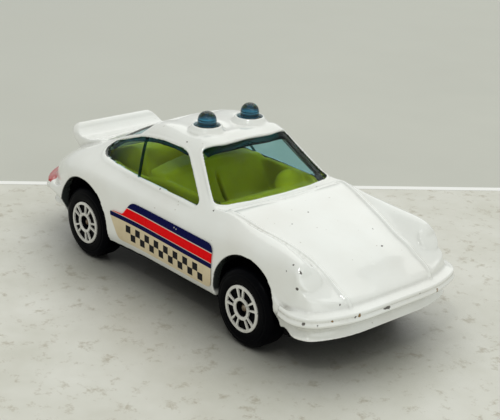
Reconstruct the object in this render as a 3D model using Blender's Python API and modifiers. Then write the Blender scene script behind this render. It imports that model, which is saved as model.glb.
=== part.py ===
"""Diecast toy patrol coupe, built as the separate pieces that a factory rivets together.

Frame: +X is forward, +Y is the car's left, +Z is up. The origin is on the ground,
midway along the car. All named sizes are real ones, written in millimetres times MM.
"""
import math

import bmesh
import bpy
from mathutils import Matrix, Vector

MM = 0.001

# Running gear
WHEELBASE = 38.0 * MM
FRONT_AXLE_X = 20.0 * MM
WHEEL_DIAMETER = 11.3 * MM
WHEEL_WIDTH = 4.0 * MM
TRACK_OUTER = 26.8 * MM
TREAD_ROUND = 0.8 * MM
AXLE_DIAMETER = 1.1 * MM
AXLE_HEAD_DIAMETER = 1.5 * MM
AXLE_HEAD_LENGTH = 0.35 * MM
AXLE_CLEARANCE = 0.1 * MM
HUB_HOLE_DIAMETER = 2.0 * MM
HUB_RECESS_DEPTH = 0.9 * MM
DISC_DIAMETER = 7.0 * MM
DISC_THICKNESS = 0.5 * MM
DISC_PROUD = 0.1 * MM
DISC_WINDOWS = 5
WINDOW_INNER_RADIUS = 1.65 * MM
WINDOW_OUTER_RADIUS = 2.85 * MM
WIDE_WINDOW_DEGREES = 33.0
NARROW_WINDOW_DEGREES = 14.0
FRONT_DISC_TURN_DEGREES = 61.0
REAR_DISC_TURN_DEGREES = 36.0

# Casting
WALL = 0.8 * MM
ARCH_RADIUS = 6.5 * MM
ARCH_TOP_Z = 13.3 * MM
ARCH_OFFSET_X = 0.4 * MM
BUMPER_PROUD = 1.3 * MM
POST_DIAMETER = 3.0 * MM
POST_FRONT_X = 29.3 * MM
POST_REAR_X = -29.0 * MM
RIVET_HEAD_DIAMETER = 4.2 * MM
RIVET_HEAD_THICKNESS = 0.5 * MM
PLINTH_BASE_DIAMETER = 5.4 * MM
PLINTH_TOP_DIAMETER = 4.3 * MM
PLINTH_HEIGHT = 0.75 * MM
PLINTH_TOP_Z = 24.5 * MM
HEADLAMP_DIAMETER = 3.5 * MM
HEADLAMP_DEPTH = 1.6 * MM
HEADLAMP_CENTRE = (30.6 * MM, 11.05 * MM, 13.4 * MM)
HEADLAMP_RAKE_DEGREES = 36.0

# Tail wing
WING_HALF_WIDTH = 8.2 * MM
WING_CORNER_RADIUS = 1.3 * MM

# Glazing and beacons
GLASS_THICKNESS = 1.0 * MM
GLASS_BOTTOM_Z = 14.6 * MM
GLASS_FRONT_X = 12.4 * MM
GLASS_REAR_X = -23.6 * MM
BEACON_X = 0.1 * MM
BEACON_SPACING = 8.2 * MM
BEACON_DIAMETER = 2.8 * MM
BEACON_TOP_Z = 27.0 * MM
BEACON_CLEARANCE = 0.35 * MM

# Base and interior
BASE_BOTTOM_Z = 4.3 * MM
BASE_END_Z = 5.9 * MM
BASE_THICKNESS = 1.2 * MM
BASE_RAMP = 1.6 * MM
WELL_RADIUS = 6.9 * MM
WELL_WALL = 0.8 * MM
WELL_SIDE_GAP = 0.8 * MM
BENCH_FLOOR_Z = 8.0 * MM
TUB_THICKNESS = 0.9 * MM
TUB_HALF_WIDTH = 11.2 * MM
SEAT_WIDTH = 7.0 * MM
SEAT_Y = 4.9 * MM
SEAT_TOP_Z = 17.6 * MM
SEAT_BACK_THICKNESS = 2.2 * MM
DASH_DEPTH = 3.6 * MM
DASH_HALF_WIDTH = 9.4 * MM

# Labels
LABEL_THICKNESS = 0.15 * MM

# Clearances that keep neighbouring solids apart
GAP = 0.3 * MM
TRIM_GAP = 0.12 * MM

# How far a cutting tool reaches, so that it passes right through the car
REACH = 40.0 * MM

REAR_AXLE_X = FRONT_AXLE_X - WHEELBASE
WHEEL_RADIUS = WHEEL_DIAMETER / 2
BASE_TOP_Z = BASE_BOTTOM_Z + BASE_THICKNESS
WHEEL_OUTER_Y = TRACK_OUTER / 2
WHEEL_INNER_Y = WHEEL_OUTER_Y - WHEEL_WIDTH
WELL_INNER_Y = WHEEL_INNER_Y - WELL_SIDE_GAP

# Guide lines of the body's upper surface, nose to tail, in millimetres. Each holds one
# point for each of the same 17 stations: the centre line, a line halfway out, the bonnet
# seam that becomes the roof edge, the wing crown that becomes the belt, and the shoulder.
CENTRE_LINE = (
    (34.3, 0.0, 10.4), (33.2, 0.0, 11.1), (31.5, 0.0, 12.1), (28.8, 0.0, 13.6),
    (24.0, 0.0, 15.2), (19.0, 0.0, 16.4), (14.3, 0.0, 17.1), (11.9, 0.0, 17.5),
    (4.7, 0.0, 23.2), (1.0, 0.0, 23.95), (-5.0, 0.0, 24.1), (-11.5, 0.0, 22.7),
    (-17.0, 0.0, 20.1), (-22.0, 0.0, 17.6), (-27.0, 0.0, 15.3), (-31.5, 0.0, 12.7),
    (-34.2, 0.0, 10.4),
)
MID_LINE = (
    (34.3, 4.0, 10.4), (33.1, 4.1, 11.1), (31.4, 4.1, 12.1), (28.7, 4.1, 13.55),
    (24.0, 4.4, 15.15), (19.0, 4.9, 16.3), (14.2, 5.3, 17.1), (11.6, 5.4, 17.45),
    (4.6, 4.3, 23.0), (1.0, 4.3, 23.75), (-5.0, 4.3, 23.9), (-11.5, 4.2, 22.4),
    (-17.0, 4.3, 19.85), (-22.0, 4.4, 17.4), (-27.0, 4.3, 15.2), (-31.5, 3.8, 12.6),
    (-34.0, 3.2, 10.4),
)
SEAM_LINE = (
    (34.0, 7.8, 10.5), (33.0, 8.0, 11.1), (31.2, 8.05, 12.0), (29.0, 8.1, 13.2),
    (23.6, 8.75, 15.0), (18.8, 9.8, 16.0), (13.9, 10.4, 17.0), (10.6, 10.2, 17.2),
    (4.2, 8.2, 22.3), (1.0, 8.3, 22.75), (-5.0, 8.3, 22.9), (-11.5, 7.9, 21.3),
    (-17.0, 8.0, 18.9), (-22.0, 8.3, 16.7), (-27.2, 7.8, 14.7), (-31.3, 6.8, 12.2),
    (-33.2, 6.0, 10.4),
)
CROWN_LINE = (
    (33.1, 10.8, 11.0), (32.3, 10.8, 11.4), (30.6, 11.0, 13.2), (29.1, 11.2, 15.5),
    (24.5, 11.0, 16.2), (19.0, 11.2, 16.4), (14.0, 11.5, 16.7), (9.5, 11.5, 16.6),
    (4.0, 11.55, 16.3), (0.0, 11.6, 16.3), (-5.0, 11.6, 16.4), (-11.5, 11.6, 16.5),
    (-17.0, 11.7, 16.6), (-22.0, 11.5, 16.0), (-26.8, 10.6, 14.1), (-30.5, 9.3, 12.0),
    (-32.1, 8.2, 10.4),
)
SHOULDER_LINE = (
    (32.0, 12.8, 11.2), (31.4, 13.05, 11.7), (30.3, 13.25, 12.8), (29.0, 13.05, 14.6),
    (24.5, 13.1, 14.8), (19.5, 13.2, 14.9), (14.0, 13.1, 14.5), (9.0, 13.0, 14.3),
    (4.0, 13.0, 14.2), (0.0, 13.0, 14.2), (-5.0, 13.1, 14.3), (-11.5, 13.7, 14.6),
    (-17.0, 14.2, 14.7), (-22.0, 13.8, 14.1), (-26.3, 12.8, 12.5), (-29.1, 11.3, 11.5),
    (-30.4, 10.3, 10.4),
)
UPPER_LINES = (CENTRE_LINE, MID_LINE, SEAM_LINE, CROWN_LINE, SHOULDER_LINE)

# Plan outline of the lower body, nose centre to tail centre, in millimetres. The first
# and last four points lie across the nose and the tail, the rest along the side.
PLAN_LINE = (
    (34.5, 0.0), (34.5, 4.0), (34.3, 7.6), (33.5, 10.8), (32.6, 12.75), (31.7, 13.4),
    (30.3, 13.7), (27.8, 13.7), (24.5, 13.5), (19.5, 13.6), (14.0, 13.5), (9.0, 13.5),
    (4.0, 13.5), (0.0, 13.5), (-5.0, 13.6), (-11.5, 14.1), (-17.0, 14.5), (-22.0, 14.1),
    (-25.6, 13.3), (-28.3, 12.2), (-30.6, 10.6), (-32.4, 8.4), (-33.6, 6.0),
    (-34.3, 3.2), (-34.5, 0.0),
)
# Heights in millimetres of the six loops under the shoulder, at the bumpers and doors.
BUMPER_LEVELS_Z = (9.85, 9.6, 8.95, 8.2, 7.7, 5.8)
DOOR_LEVELS_Z = (12.2, 10.6, 9.0, 7.6, 6.3, 5.1)
# How far each loop stands out of the plan outline, as shares of the bumper's own depth,
# and in millimetres on the doors.
BUMPER_SHARES = (0.0, 0.65, 1.0, 0.9, 0.0, 0.2)
DOOR_SWELL = (0.1, 0.25, 0.3, 0.25, 0.1, -0.4)
# How far each loop of the bumper tucks in beside the wheel arch, in millimetres.
ARCH_TUCK = (0.0, 0.0, 0.0, 0.0, 0.5, 1.1)
FRONT_BUMPER_END = 26.0
REAR_BUMPER_END = -23.5
BUMPER_FADE = 4.5
BUMPER_RISE = 2.8

# Window outlines in millimetres. The side window is seen from the side, as x and z.
# The windscreen and rear window are half outlines, as y and distance up their slope.
SIDE_WINDOW = (
    (7.4, 16.2), (1.0, 16.1), (-6.6, 16.15), (-12.1, 16.4), (-15.0, 16.8), (-16.4, 17.4),
    (-16.5, 18.2), (-14.2, 19.6), (-10.4, 20.9), (-4.8, 21.6), (1.6, 21.75), (2.4, 21.5),
)
WINDSCREEN_FOOT = (10.44, 16.84)
WINDSCREEN_HEAD = (4.1, 22.36)
WINDSCREEN_HALF = (
    (0.0, -1.0), (5.5, -0.8), (9.4, -0.25), (10.3, 0.1), (10.5, 0.5), (8.4, 8.0),
    (8.0, 8.35), (4.5, 8.5), (0.0, 8.55),
)
REAR_WINDOW_FOOT = (-21.6, 17.4)
REAR_WINDOW_HEAD = (-12.2, 22.2)
REAR_WINDOW_HALF = (
    (0.0, 0.0), (6.6, 0.1), (7.3, 0.5), (7.4, 1.2), (6.6, 9.6), (6.0, 10.1), (0.0, 10.3),
)
# Wing section in millimetres, as x and z, from its root round the lip and back under.
WING_SECTION = (
    (-21.8, 17.3), (-24.8, 16.5), (-27.3, 16.4), (-28.5, 17.0), (-29.2, 17.8),
    (-29.8, 18.0), (-30.2, 17.7), (-30.1, 17.0), (-29.0, 15.5), (-27.3, 14.3),
    (-22.0, 15.2),
)
# Door label outline in millimetres, as x and z.
LABEL_OUTLINE = (
    (-10.0, 10.2), (-8.3, 6.9), (-7.7, 6.4), (13.0, 6.3), (13.6, 6.8), (13.6, 12.1),
    (13.0, 12.8), (-4.9, 13.0), (-5.6, 12.7), (-7.1, 10.7), (-9.8, 10.6),
)

CAR_WHITE = ("white_enamel", (0.80, 0.80, 0.77, 1.0), 0.25, 0.0)
GLASS_BLUE = ("blue_tinted_plastic", (0.10, 0.32, 0.42, 0.6), 0.08, 0.0)
SEAT_YELLOW = ("yellow_plastic", (0.78, 0.80, 0.10, 1.0), 0.45, 0.0)
BASE_BLACK = ("black_plastic", (0.012, 0.012, 0.013, 1.0), 0.45, 0.0)
DISC_WHITE = ("hub_white", (0.72, 0.72, 0.69, 1.0), 0.30, 0.0)
AXLE_STEEL = ("steel_wire", (0.45, 0.43, 0.40, 1.0), 0.35, 1.0)
LABEL_CREAM = ("label_cream", (0.75, 0.66, 0.45, 1.0), 0.40, 0.0)


def clear_scene():
    for thing in list(bpy.data.objects):
        bpy.data.objects.remove(thing, do_unlink=True)


def collection(name):
    group = bpy.data.collections.new(name)
    bpy.context.scene.collection.children.link(group)
    return group


def material(spec):
    name, colour, roughness, metallic = spec
    made = bpy.data.materials.get(name)
    if made is None:
        made = bpy.data.materials.new(name)
        made.use_nodes = True
        shader = made.node_tree.nodes["Principled BSDF"]
        shader.inputs["Base Color"].default_value = colour
        shader.inputs["Roughness"].default_value = roughness
        shader.inputs["Metallic"].default_value = metallic
        made.diffuse_color = colour
    return made


def add(name, mesh, group):
    thing = bpy.data.objects.new(name, mesh)
    group.objects.link(thing)
    return thing


def from_bmesh(name, bm, group):
    bmesh.ops.recalc_face_normals(bm, faces=bm.faces)
    mesh = bpy.data.meshes.new(name)
    bm.to_mesh(mesh)
    bm.free()
    return add(name, mesh, group)


def box(name, low, high, group):
    bm = bmesh.new()
    bmesh.ops.create_cube(bm, size=1.0)
    low, high = Vector(low), Vector(high)
    size = high - low
    bmesh.ops.transform(
        bm,
        matrix=Matrix.Translation((low + high) / 2) @ Matrix.Diagonal((*size, 1.0)),
        verts=bm.verts,
    )
    return from_bmesh(name, bm, group)


def cone(name, centre, axis, length, r_start, r_end, sides, group):
    """A closed cylinder or cone about axis, with its middle at centre."""
    bm = bmesh.new()
    bmesh.ops.create_cone(
        bm, cap_ends=True, segments=sides, radius1=r_start, radius2=r_end, depth=length
    )
    turn = Vector((0, 0, 1)).rotation_difference(Vector(axis)).to_matrix().to_4x4()
    bmesh.ops.transform(bm, matrix=Matrix.Translation(centre) @ turn, verts=bm.verts)
    return from_bmesh(name, bm, group)


def prism(name, outline, place, low, high, group):
    """A flat outline of (u, v) points, extruded from low to high and put at place(u, v, w)."""
    bm = bmesh.new()
    ends = [[bm.verts.new(place(u, v, w)) for u, v in outline] for w in (low, high)]
    count = len(outline)
    bm.faces.new(ends[0])
    bm.faces.new(list(reversed(ends[1])))
    for i in range(count):
        j = (i + 1) % count
        bm.faces.new((ends[0][i], ends[1][i], ends[1][j], ends[0][j]))
    return from_bmesh(name, bm, group)


def evaluate(thing):
    """Replaces an object's mesh by what its modifiers make of it."""
    graph = bpy.context.evaluated_depsgraph_get()
    mesh = bpy.data.meshes.new_from_object(thing.evaluated_get(graph))
    thing.modifiers.clear()
    thing.data = mesh
    return thing


def combine(thing, other, operation, keep=False):
    """Cuts, joins or intersects thing with other by an exact Boolean."""
    boolean = thing.modifiers.new(operation.lower(), "BOOLEAN")
    boolean.operation = operation
    boolean.solver = "EXACT"
    boolean.object = other
    bpy.context.view_layer.update()
    evaluate(thing)
    if not keep:
        bpy.data.objects.remove(other, do_unlink=True)
    return thing


def copy_of(thing, name, group, shift=(0.0, 0.0, 0.0)):
    twin = add(name, thing.data.copy(), group)
    twin.data.transform(Matrix.Translation(shift))
    return twin


def mirrored(thing, name, group):
    """A copy on the other side of the car, with its faces still pointing out."""
    twin = add(name, thing.data.copy(), group)
    twin.data.transform(Matrix.Diagonal((1, -1, 1, 1)))
    twin.data.flip_normals()
    return twin


def rounded(thing, width, segments=2, angle=35.0):
    bevel = thing.modifiers.new("rounded", "BEVEL")
    bevel.width = width
    bevel.segments = segments
    bevel.limit_method = "ANGLE"
    bevel.angle_limit = math.radians(angle)
    return evaluate(thing)


def arc(cu, cv, radius, start, end, steps):
    """Points on an arc in a plane, from start to end degrees, both ends included."""
    turn = [math.radians(start + (end - start) * i / steps) for i in range(steps + 1)]
    return [(cu + radius * math.cos(t), cv + radius * math.sin(t)) for t in turn]


def outward(line, i):
    """Unit normal of the plan outline at point i, pointing away from the car."""
    before = line[i - 1] if i else (line[0][0], -line[1][1])
    after = line[i + 1] if i + 1 < len(line) else (line[-1][0], -line[-2][1])
    along = Vector((after[0] - before[0], after[1] - before[1]))
    normal = Vector((-along.y, along.x)).normalized()
    return normal if normal.dot(Vector(line[i])) > 0 else -normal


def lower_loop(level):
    """Half of one loop under the shoulder, nose centre to tail centre."""
    points = []
    for i, (x, y) in enumerate(PLAN_LINE):
        past_end = max(x - FRONT_BUMPER_END, REAR_BUMPER_END - x)
        share = min(1.0, max(0.0, past_end / BUMPER_FADE))
        rise = min(1.0, share * BUMPER_RISE)
        proud = BUMPER_SHARES[level] * BUMPER_PROUD / MM
        offset = share * proud + (1 - share) * DOOR_SWELL[level]
        offset -= (rise - share) * ARCH_TUCK[level]
        z = rise * BUMPER_LEVELS_Z[level] + (1 - rise) * DOOR_LEVELS_Z[level]
        normal = outward(PLAN_LINE, i)
        points.append((x + normal.x * offset, max(0.0, y + normal.y * offset), z))
    return points


def body_cage(name, group):
    """Coarse cage of the body: an upper patch of guide lines and loops hung from its rim."""
    bm = bmesh.new()
    columns = list(reversed(UPPER_LINES[1:])) + list(UPPER_LINES)
    side = [-1] * (len(UPPER_LINES) - 1) + [1] * len(UPPER_LINES)
    patch = []
    for i in range(len(CENTRE_LINE)):
        patch.append([
            bm.verts.new((line[i][0] * MM, line[i][1] * sign * MM, line[i][2] * MM))
            for line, sign in zip(columns, side)
        ])
    rows = []
    for level in range(len(DOOR_LEVELS_Z)):
        left = lower_loop(level)
        right = [(x, -y, z) for x, y, z in reversed(left[1:-1])]
        rows.append([Vector(point) * MM for point in left + right])
    close_patch(bm, patch, rows)
    return from_bmesh(name, bm, group)


def fit_cage(cage, rounds=8):
    """Pushes the cage out until the smooth surface passes through the guide points."""
    smooth = cage.modifiers.new("smooth", "SUBSURF")
    smooth.levels = smooth.render_levels = 1
    targets = [v.co.copy() for v in cage.data.vertices]
    for _ in range(rounds):
        graph = bpy.context.evaluated_depsgraph_get()
        made = cage.evaluated_get(graph).to_mesh()
        limits = [made.vertices[i].co.copy() for i in range(len(targets))]
        for vertex, target, limit in zip(cage.data.vertices, targets, limits):
            vertex.co += target - limit
        cage.update_tag()
        bpy.context.view_layer.update()
    cage.modifiers.clear()
    return cage


def inner_cage(cage, depth, name, group, first=0, last=len(CENTRE_LINE) - 1):
    """Cage of the space inside the skin: part of the upper patch moved in along its
    normals, with walls hung straight down from its rim."""
    smooth = cage.modifiers.new("smooth", "SUBSURF")
    smooth.levels = smooth.render_levels = 1
    bpy.context.view_layer.update()
    made = cage.evaluated_get(bpy.context.evaluated_depsgraph_get()).to_mesh()
    width = 2 * len(UPPER_LINES) - 1
    bm = bmesh.new()
    patch = []
    for i in range(first, last + 1):
        row = [made.vertices[i * width + j] for j in range(width)]
        patch.append([bm.verts.new(v.co - v.normal * depth) for v in row])
    cage.modifiers.clear()
    close_patch(bm, patch, [rim_drop(patch, 3.5 * MM), rim_drop(patch, None)])
    return from_bmesh(name, bm, group)


def rim_of(patch):
    """The patch's border, from the nose's centre along the left side and back."""
    middle = len(patch[0]) // 2
    last = len(patch[0]) - 1
    ends = len(patch) - 1
    rim = [patch[0][j] for j in range(middle, last)]
    rim += [patch[i][last] for i in range(ends)]
    rim += [patch[-1][j] for j in range(last, 0, -1)]
    rim += [patch[i][0] for i in range(ends, 0, -1)]
    return rim + [patch[0][j] for j in range(0, middle)]


def rim_drop(patch, drop):
    """Points below the patch's border, by a drop or down to a floor under the car."""
    points = []
    for vertex in rim_of(patch):
        z = -2 * MM if drop is None else vertex.co.z - drop
        points.append(Vector((vertex.co.x, vertex.co.y, z)))
    return points


def close_patch(bm, patch, rows):
    """Faces of the upper patch, of the loops that hang from its border and of the floor."""
    for lower, upper in zip(patch, patch[1:]):
        for j in range(len(lower) - 1):
            bm.faces.new((lower[j], upper[j], upper[j + 1], lower[j + 1]))
    loops = [rim_of(patch)] + [[bm.verts.new(point) for point in row] for row in rows]
    for upper, lower in zip(loops, loops[1:]):
        for i in range(len(upper)):
            j = (i + 1) % len(upper)
            bm.faces.new((upper[i], upper[j], lower[j], lower[i]))
    floor = bm.faces.new(loops[-1])
    crease = bm.edges.layers.float.new("crease_edge")
    for edge in floor.edges:
        edge[crease] = 1.0


def stations_over(front_x, rear_x):
    """First and last of the guide lines' stations that span front_x to rear_x."""
    first = max(i for i, point in enumerate(CENTRE_LINE) if point[0] * MM >= front_x)
    last = min(i for i, point in enumerate(CENTRE_LINE) if point[0] * MM <= rear_x)
    return first, last


def smooth_solid(cage, levels):
    smooth = cage.modifiers.new("smooth", "SUBSURF")
    smooth.levels = smooth.render_levels = levels
    return evaluate(cage)


def thin_out(thing, share):
    fewer = thing.modifiers.new("fewer", "DECIMATE")
    fewer.ratio = share
    fewer.use_symmetry = True
    fewer.symmetry_axis = "Y"
    return evaluate(thing)


def slope_place(foot, head):
    """Places (y, distance up the slope, height off it) on the plane through foot and head."""
    start = Vector((foot[0], 0, foot[1])) * MM
    up = (Vector((head[0], 0, head[1])) * MM - start).normalized()
    off = Vector((up.z, 0, -up.x))
    if off.z < 0:
        off = -off
    return lambda y, s, w: start + Vector((0, y * MM, 0)) + up * (s * MM) + off * w


def window_cutter(name, half, foot, head, group):
    outline = list(half) + [(-y, s) for y, s in reversed(half[1:-1])]
    reach = 3.2 * MM
    return prism(name, outline, slope_place(foot, head), -reach, reach, group)


def side_place(u, v, w):
    return Vector((u * MM, w, v * MM))


def arch_outline(axle_x, radius, top_z):
    """Wheel arch seen from the side, in millimetres: a half circle on straight sides."""
    centre_z = (top_z - radius) / MM
    x = axle_x / MM
    r = radius / MM
    return arc(x, centre_z, r, 0, 180, 20) + [(x - r, -1.0), (x + r, -1.0)]


def headlamps(group):
    """Two round lamps cast on the steep front of the wings."""
    rake = math.radians(HEADLAMP_RAKE_DEGREES)
    facing = Vector((math.cos(rake), 0.08, math.sin(rake))).normalized()
    left = cone(
        "headlamp", Vector(HEADLAMP_CENTRE) - facing * HEADLAMP_DEPTH / 2, facing,
        HEADLAMP_DEPTH, HEADLAMP_DIAMETER / 2, HEADLAMP_DIAMETER / 2, 28, group,
    )
    return left, mirrored(left, "headlamp_right", group)


def wing(group):
    """The tray-shaped tail wing, cast in one with the body, with rounded upper corners."""
    half = WING_HALF_WIDTH
    made = prism("wing", WING_SECTION, side_place, -2 * half, 2 * half, group)
    top = max(z for x, z in WING_SECTION)
    r = WING_CORNER_RADIUS / MM
    wide = half / MM
    outline = arc(wide - r, top - r, r, 0, 90, 4) + arc(-wide + r, top - r, r, 90, 180, 4)
    outline += [(-wide + 0.4, 10.0), (wide - 0.4, 10.0)]
    ends = prism(
        "wing_ends", outline, lambda u, v, w: Vector((w, u * MM, v * MM)),
        -REACH, 0.0, group,
    )
    combine(made, ends, "INTERSECT")
    return rounded(made, 0.3 * MM, 1, 30.0)


def build_body(cage, cavity, parts, tools):
    """The diecast shell with its wing, plinths, posts, lamps and all its openings."""
    shell = smooth_solid(copy_of(cage, "body_shell", parts), 2)
    thin_out(shell, 0.34)
    shell_outer = copy_of(shell, "shell_outer", tools)
    combine(shell, wing(tools), "UNION")
    for lamp in headlamps(tools):
        combine(shell, lamp, "UNION")
    for side in (-1, 1):
        height = 2 * PLINTH_HEIGHT
        base_r = PLINTH_BASE_DIAMETER - PLINTH_TOP_DIAMETER / 2
        plinth = cone(
            "plinth", (BEACON_X, side * BEACON_SPACING / 2, PLINTH_TOP_Z - height / 2),
            (0, 0, 1), height, base_r, PLINTH_TOP_DIAMETER / 2, 32, tools,
        )
        combine(shell, plinth, "UNION")
    combine(shell, cavity, "DIFFERENCE", keep=True)
    middle_of_wall = smooth_solid(inner_cage(cage, WALL / 2, "middle_of_wall", tools), 1)
    for x in (POST_FRONT_X, POST_REAR_X):
        low = BASE_END_Z + RIVET_HEAD_THICKNESS / 2
        up = 20 * MM
        post = cone(
            "post", (x, 0, (low + up) / 2), (0, 0, 1), up - low,
            POST_DIAMETER / 2, POST_DIAMETER / 2, 20, tools,
        )
        combine(post, middle_of_wall, "INTERSECT", keep=True)
        head = cone(
            "rivet", (x, 0, BASE_END_Z + RIVET_HEAD_THICKNESS / 2), (0, 0, 1),
            RIVET_HEAD_THICKNESS, RIVET_HEAD_DIAMETER * 0.4, RIVET_HEAD_DIAMETER / 2, 20, tools,
        )
        combine(post, head, "UNION")
        combine(shell, post, "UNION")
    for axle_x in (FRONT_AXLE_X, REAR_AXLE_X):
        outline = arch_outline(axle_x + ARCH_OFFSET_X, ARCH_RADIUS, ARCH_TOP_Z)
        for side in (-1, 1):
            arch = prism("arch", outline, side_place, side * WHEEL_INNER_Y, side * REACH, tools)
            combine(shell, arch, "DIFFERENCE")
    for side in (-1, 1):
        window = prism("window", SIDE_WINDOW, side_place, side * 6.5 * MM, side * REACH, tools)
        combine(shell, window, "DIFFERENCE")
        hole = cone(
            "hole", (BEACON_X, side * BEACON_SPACING / 2, PLINTH_TOP_Z), (0, 0, 1), 8 * MM,
            BEACON_DIAMETER / 2 + BEACON_CLEARANCE, BEACON_DIAMETER / 2 + BEACON_CLEARANCE,
            32, tools,
        )
        combine(shell, hole, "DIFFERENCE")
    for name, half, foot, head in (
        ("windscreen", WINDSCREEN_HALF, WINDSCREEN_FOOT, WINDSCREEN_HEAD),
        ("rear_window", REAR_WINDOW_HALF, REAR_WINDOW_FOOT, REAR_WINDOW_HEAD),
    ):
        combine(shell, window_cutter(name, half, foot, head, tools), "DIFFERENCE")
    return shell, shell_outer


def build_glazing(cage, parts, tools):
    """One tinted moulding: windscreen, side and rear windows, roof web and two beacons."""
    ends = stations_over(GLASS_FRONT_X, GLASS_REAR_X)
    outer = smooth_solid(inner_cage(cage, WALL + GAP, "glazing", parts, *ends), 1)
    depth = WALL + GAP + GLASS_THICKNESS
    inner = smooth_solid(inner_cage(cage, depth, "glass_core", tools, *ends), 1)
    keep = box(
        "glass_keep", (GLASS_REAR_X, -REACH, GLASS_BOTTOM_Z),
        (GLASS_FRONT_X, REACH, REACH), tools,
    )
    combine(outer, keep, "INTERSECT")
    combine(outer, inner, "DIFFERENCE")
    radius = BEACON_DIAMETER / 2
    for side in (-1, 1):
        profile = [(0.0, BEACON_TOP_Z)] + [
            (radius * math.cos(math.radians(a)),
             BEACON_TOP_Z - radius + radius * math.sin(math.radians(a)))
            for a in (60, 36, 12, 0)
        ] + [(radius, 21.6 * MM), (0.0, 21.6 * MM)]
        beacon = turned("beacon", profile, 24, tools)
        beacon.data.transform(
            Matrix.Translation((BEACON_X, side * BEACON_SPACING / 2, 0))
        )
        combine(outer, beacon, "UNION")
    return outer


def turned(name, profile, steps, group):
    """A closed solid turned about Z from (radius, z) points, listed from top to bottom."""
    bm = bmesh.new()
    line = [bm.verts.new((r, 0.0, z)) for r, z in profile]
    for a, b in zip(line, line[1:]):
        bm.edges.new((a, b))
    mesh = bpy.data.meshes.new(name)
    bm.to_mesh(mesh)
    bm.free()
    made = add(name, mesh, group)
    screw = made.modifiers.new("turned", "SCREW")
    screw.steps = screw.render_steps = steps
    screw.use_merge_vertices = True
    screw.merge_threshold = 0.000001
    evaluate(made)
    bm = bmesh.new()
    bm.from_mesh(made.data)
    bmesh.ops.remove_doubles(bm, verts=bm.verts, dist=0.000001)
    bmesh.ops.recalc_face_normals(bm, faces=bm.faces)
    bm.to_mesh(made.data)
    bm.free()
    return made


def build_base(cage, parts, tools):
    """The black base: a plate inside the casting's rim with a well round each wheel."""
    front_end = FRONT_AXLE_X + WELL_RADIUS + WELL_WALL + GAP
    rear_end = REAR_AXLE_X - WELL_RADIUS - WELL_WALL - GAP
    run = (
        (-REACH, BASE_END_Z), (rear_end - BASE_RAMP, BASE_END_Z), (rear_end, BASE_BOTTOM_Z),
        (front_end, BASE_BOTTOM_Z), (front_end + BASE_RAMP, BASE_END_Z), (REACH, BASE_END_Z),
    )
    under = [(x / MM, z / MM) for x, z in run]
    over = [(x / MM, (z + BASE_THICKNESS) / MM) for x, z in reversed(run)]
    base = prism("base_plate", under + over, side_place, -REACH, REACH, parts)
    hub_z = WHEEL_RADIUS
    for axle_x in (FRONT_AXLE_X, REAR_AXLE_X):
        for side in (-1, 1):
            outline = arch_outline(axle_x, WELL_RADIUS + WELL_WALL, hub_z + WELL_RADIUS + WELL_WALL)
            outline = [(x, max(z, BASE_BOTTOM_Z / MM + 0.4)) for x, z in outline]
            low, high = side * (WELL_INNER_Y - WELL_WALL), side * REACH
            combine(base, prism("well", outline, side_place, low, high, tools), "UNION")
    combine(base, smooth_solid(inner_cage(cage, WALL + GAP, "room", tools), 1), "INTERSECT")
    for axle_x in (FRONT_AXLE_X, REAR_AXLE_X):
        for side in (-1, 1):
            outline = arch_outline(axle_x, WELL_RADIUS, hub_z + WELL_RADIUS)
            space = prism(
                "space", outline, side_place, side * WELL_INNER_Y, side * REACH, tools
            )
            combine(base, space, "DIFFERENCE")
        bore = cone(
            "bore", (axle_x, 0, hub_z), (0, 1, 0), 2 * WELL_INNER_Y + 2 * MM,
            AXLE_DIAMETER / 2 + AXLE_CLEARANCE, AXLE_DIAMETER / 2 + AXLE_CLEARANCE, 24, tools,
        )
        combine(base, bore, "DIFFERENCE")
    for x in (POST_FRONT_X, POST_REAR_X):
        hole = cone(
            "post_hole", (x, 0, BASE_END_Z), (0, 0, 1), 6 * MM,
            POST_DIAMETER / 2 + GAP, POST_DIAMETER / 2 + GAP, 24, tools,
        )
        combine(base, hole, "DIFFERENCE")
        depth = RIVET_HEAD_THICKNESS + GAP
        sink = cone(
            "sink", (x, 0, BASE_END_Z), (0, 0, 1), 2 * depth,
            RIVET_HEAD_DIAMETER / 2 + GAP, RIVET_HEAD_DIAMETER / 2 + GAP, 24, tools,
        )
        combine(base, sink, "DIFFERENCE")
    return base


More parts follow.
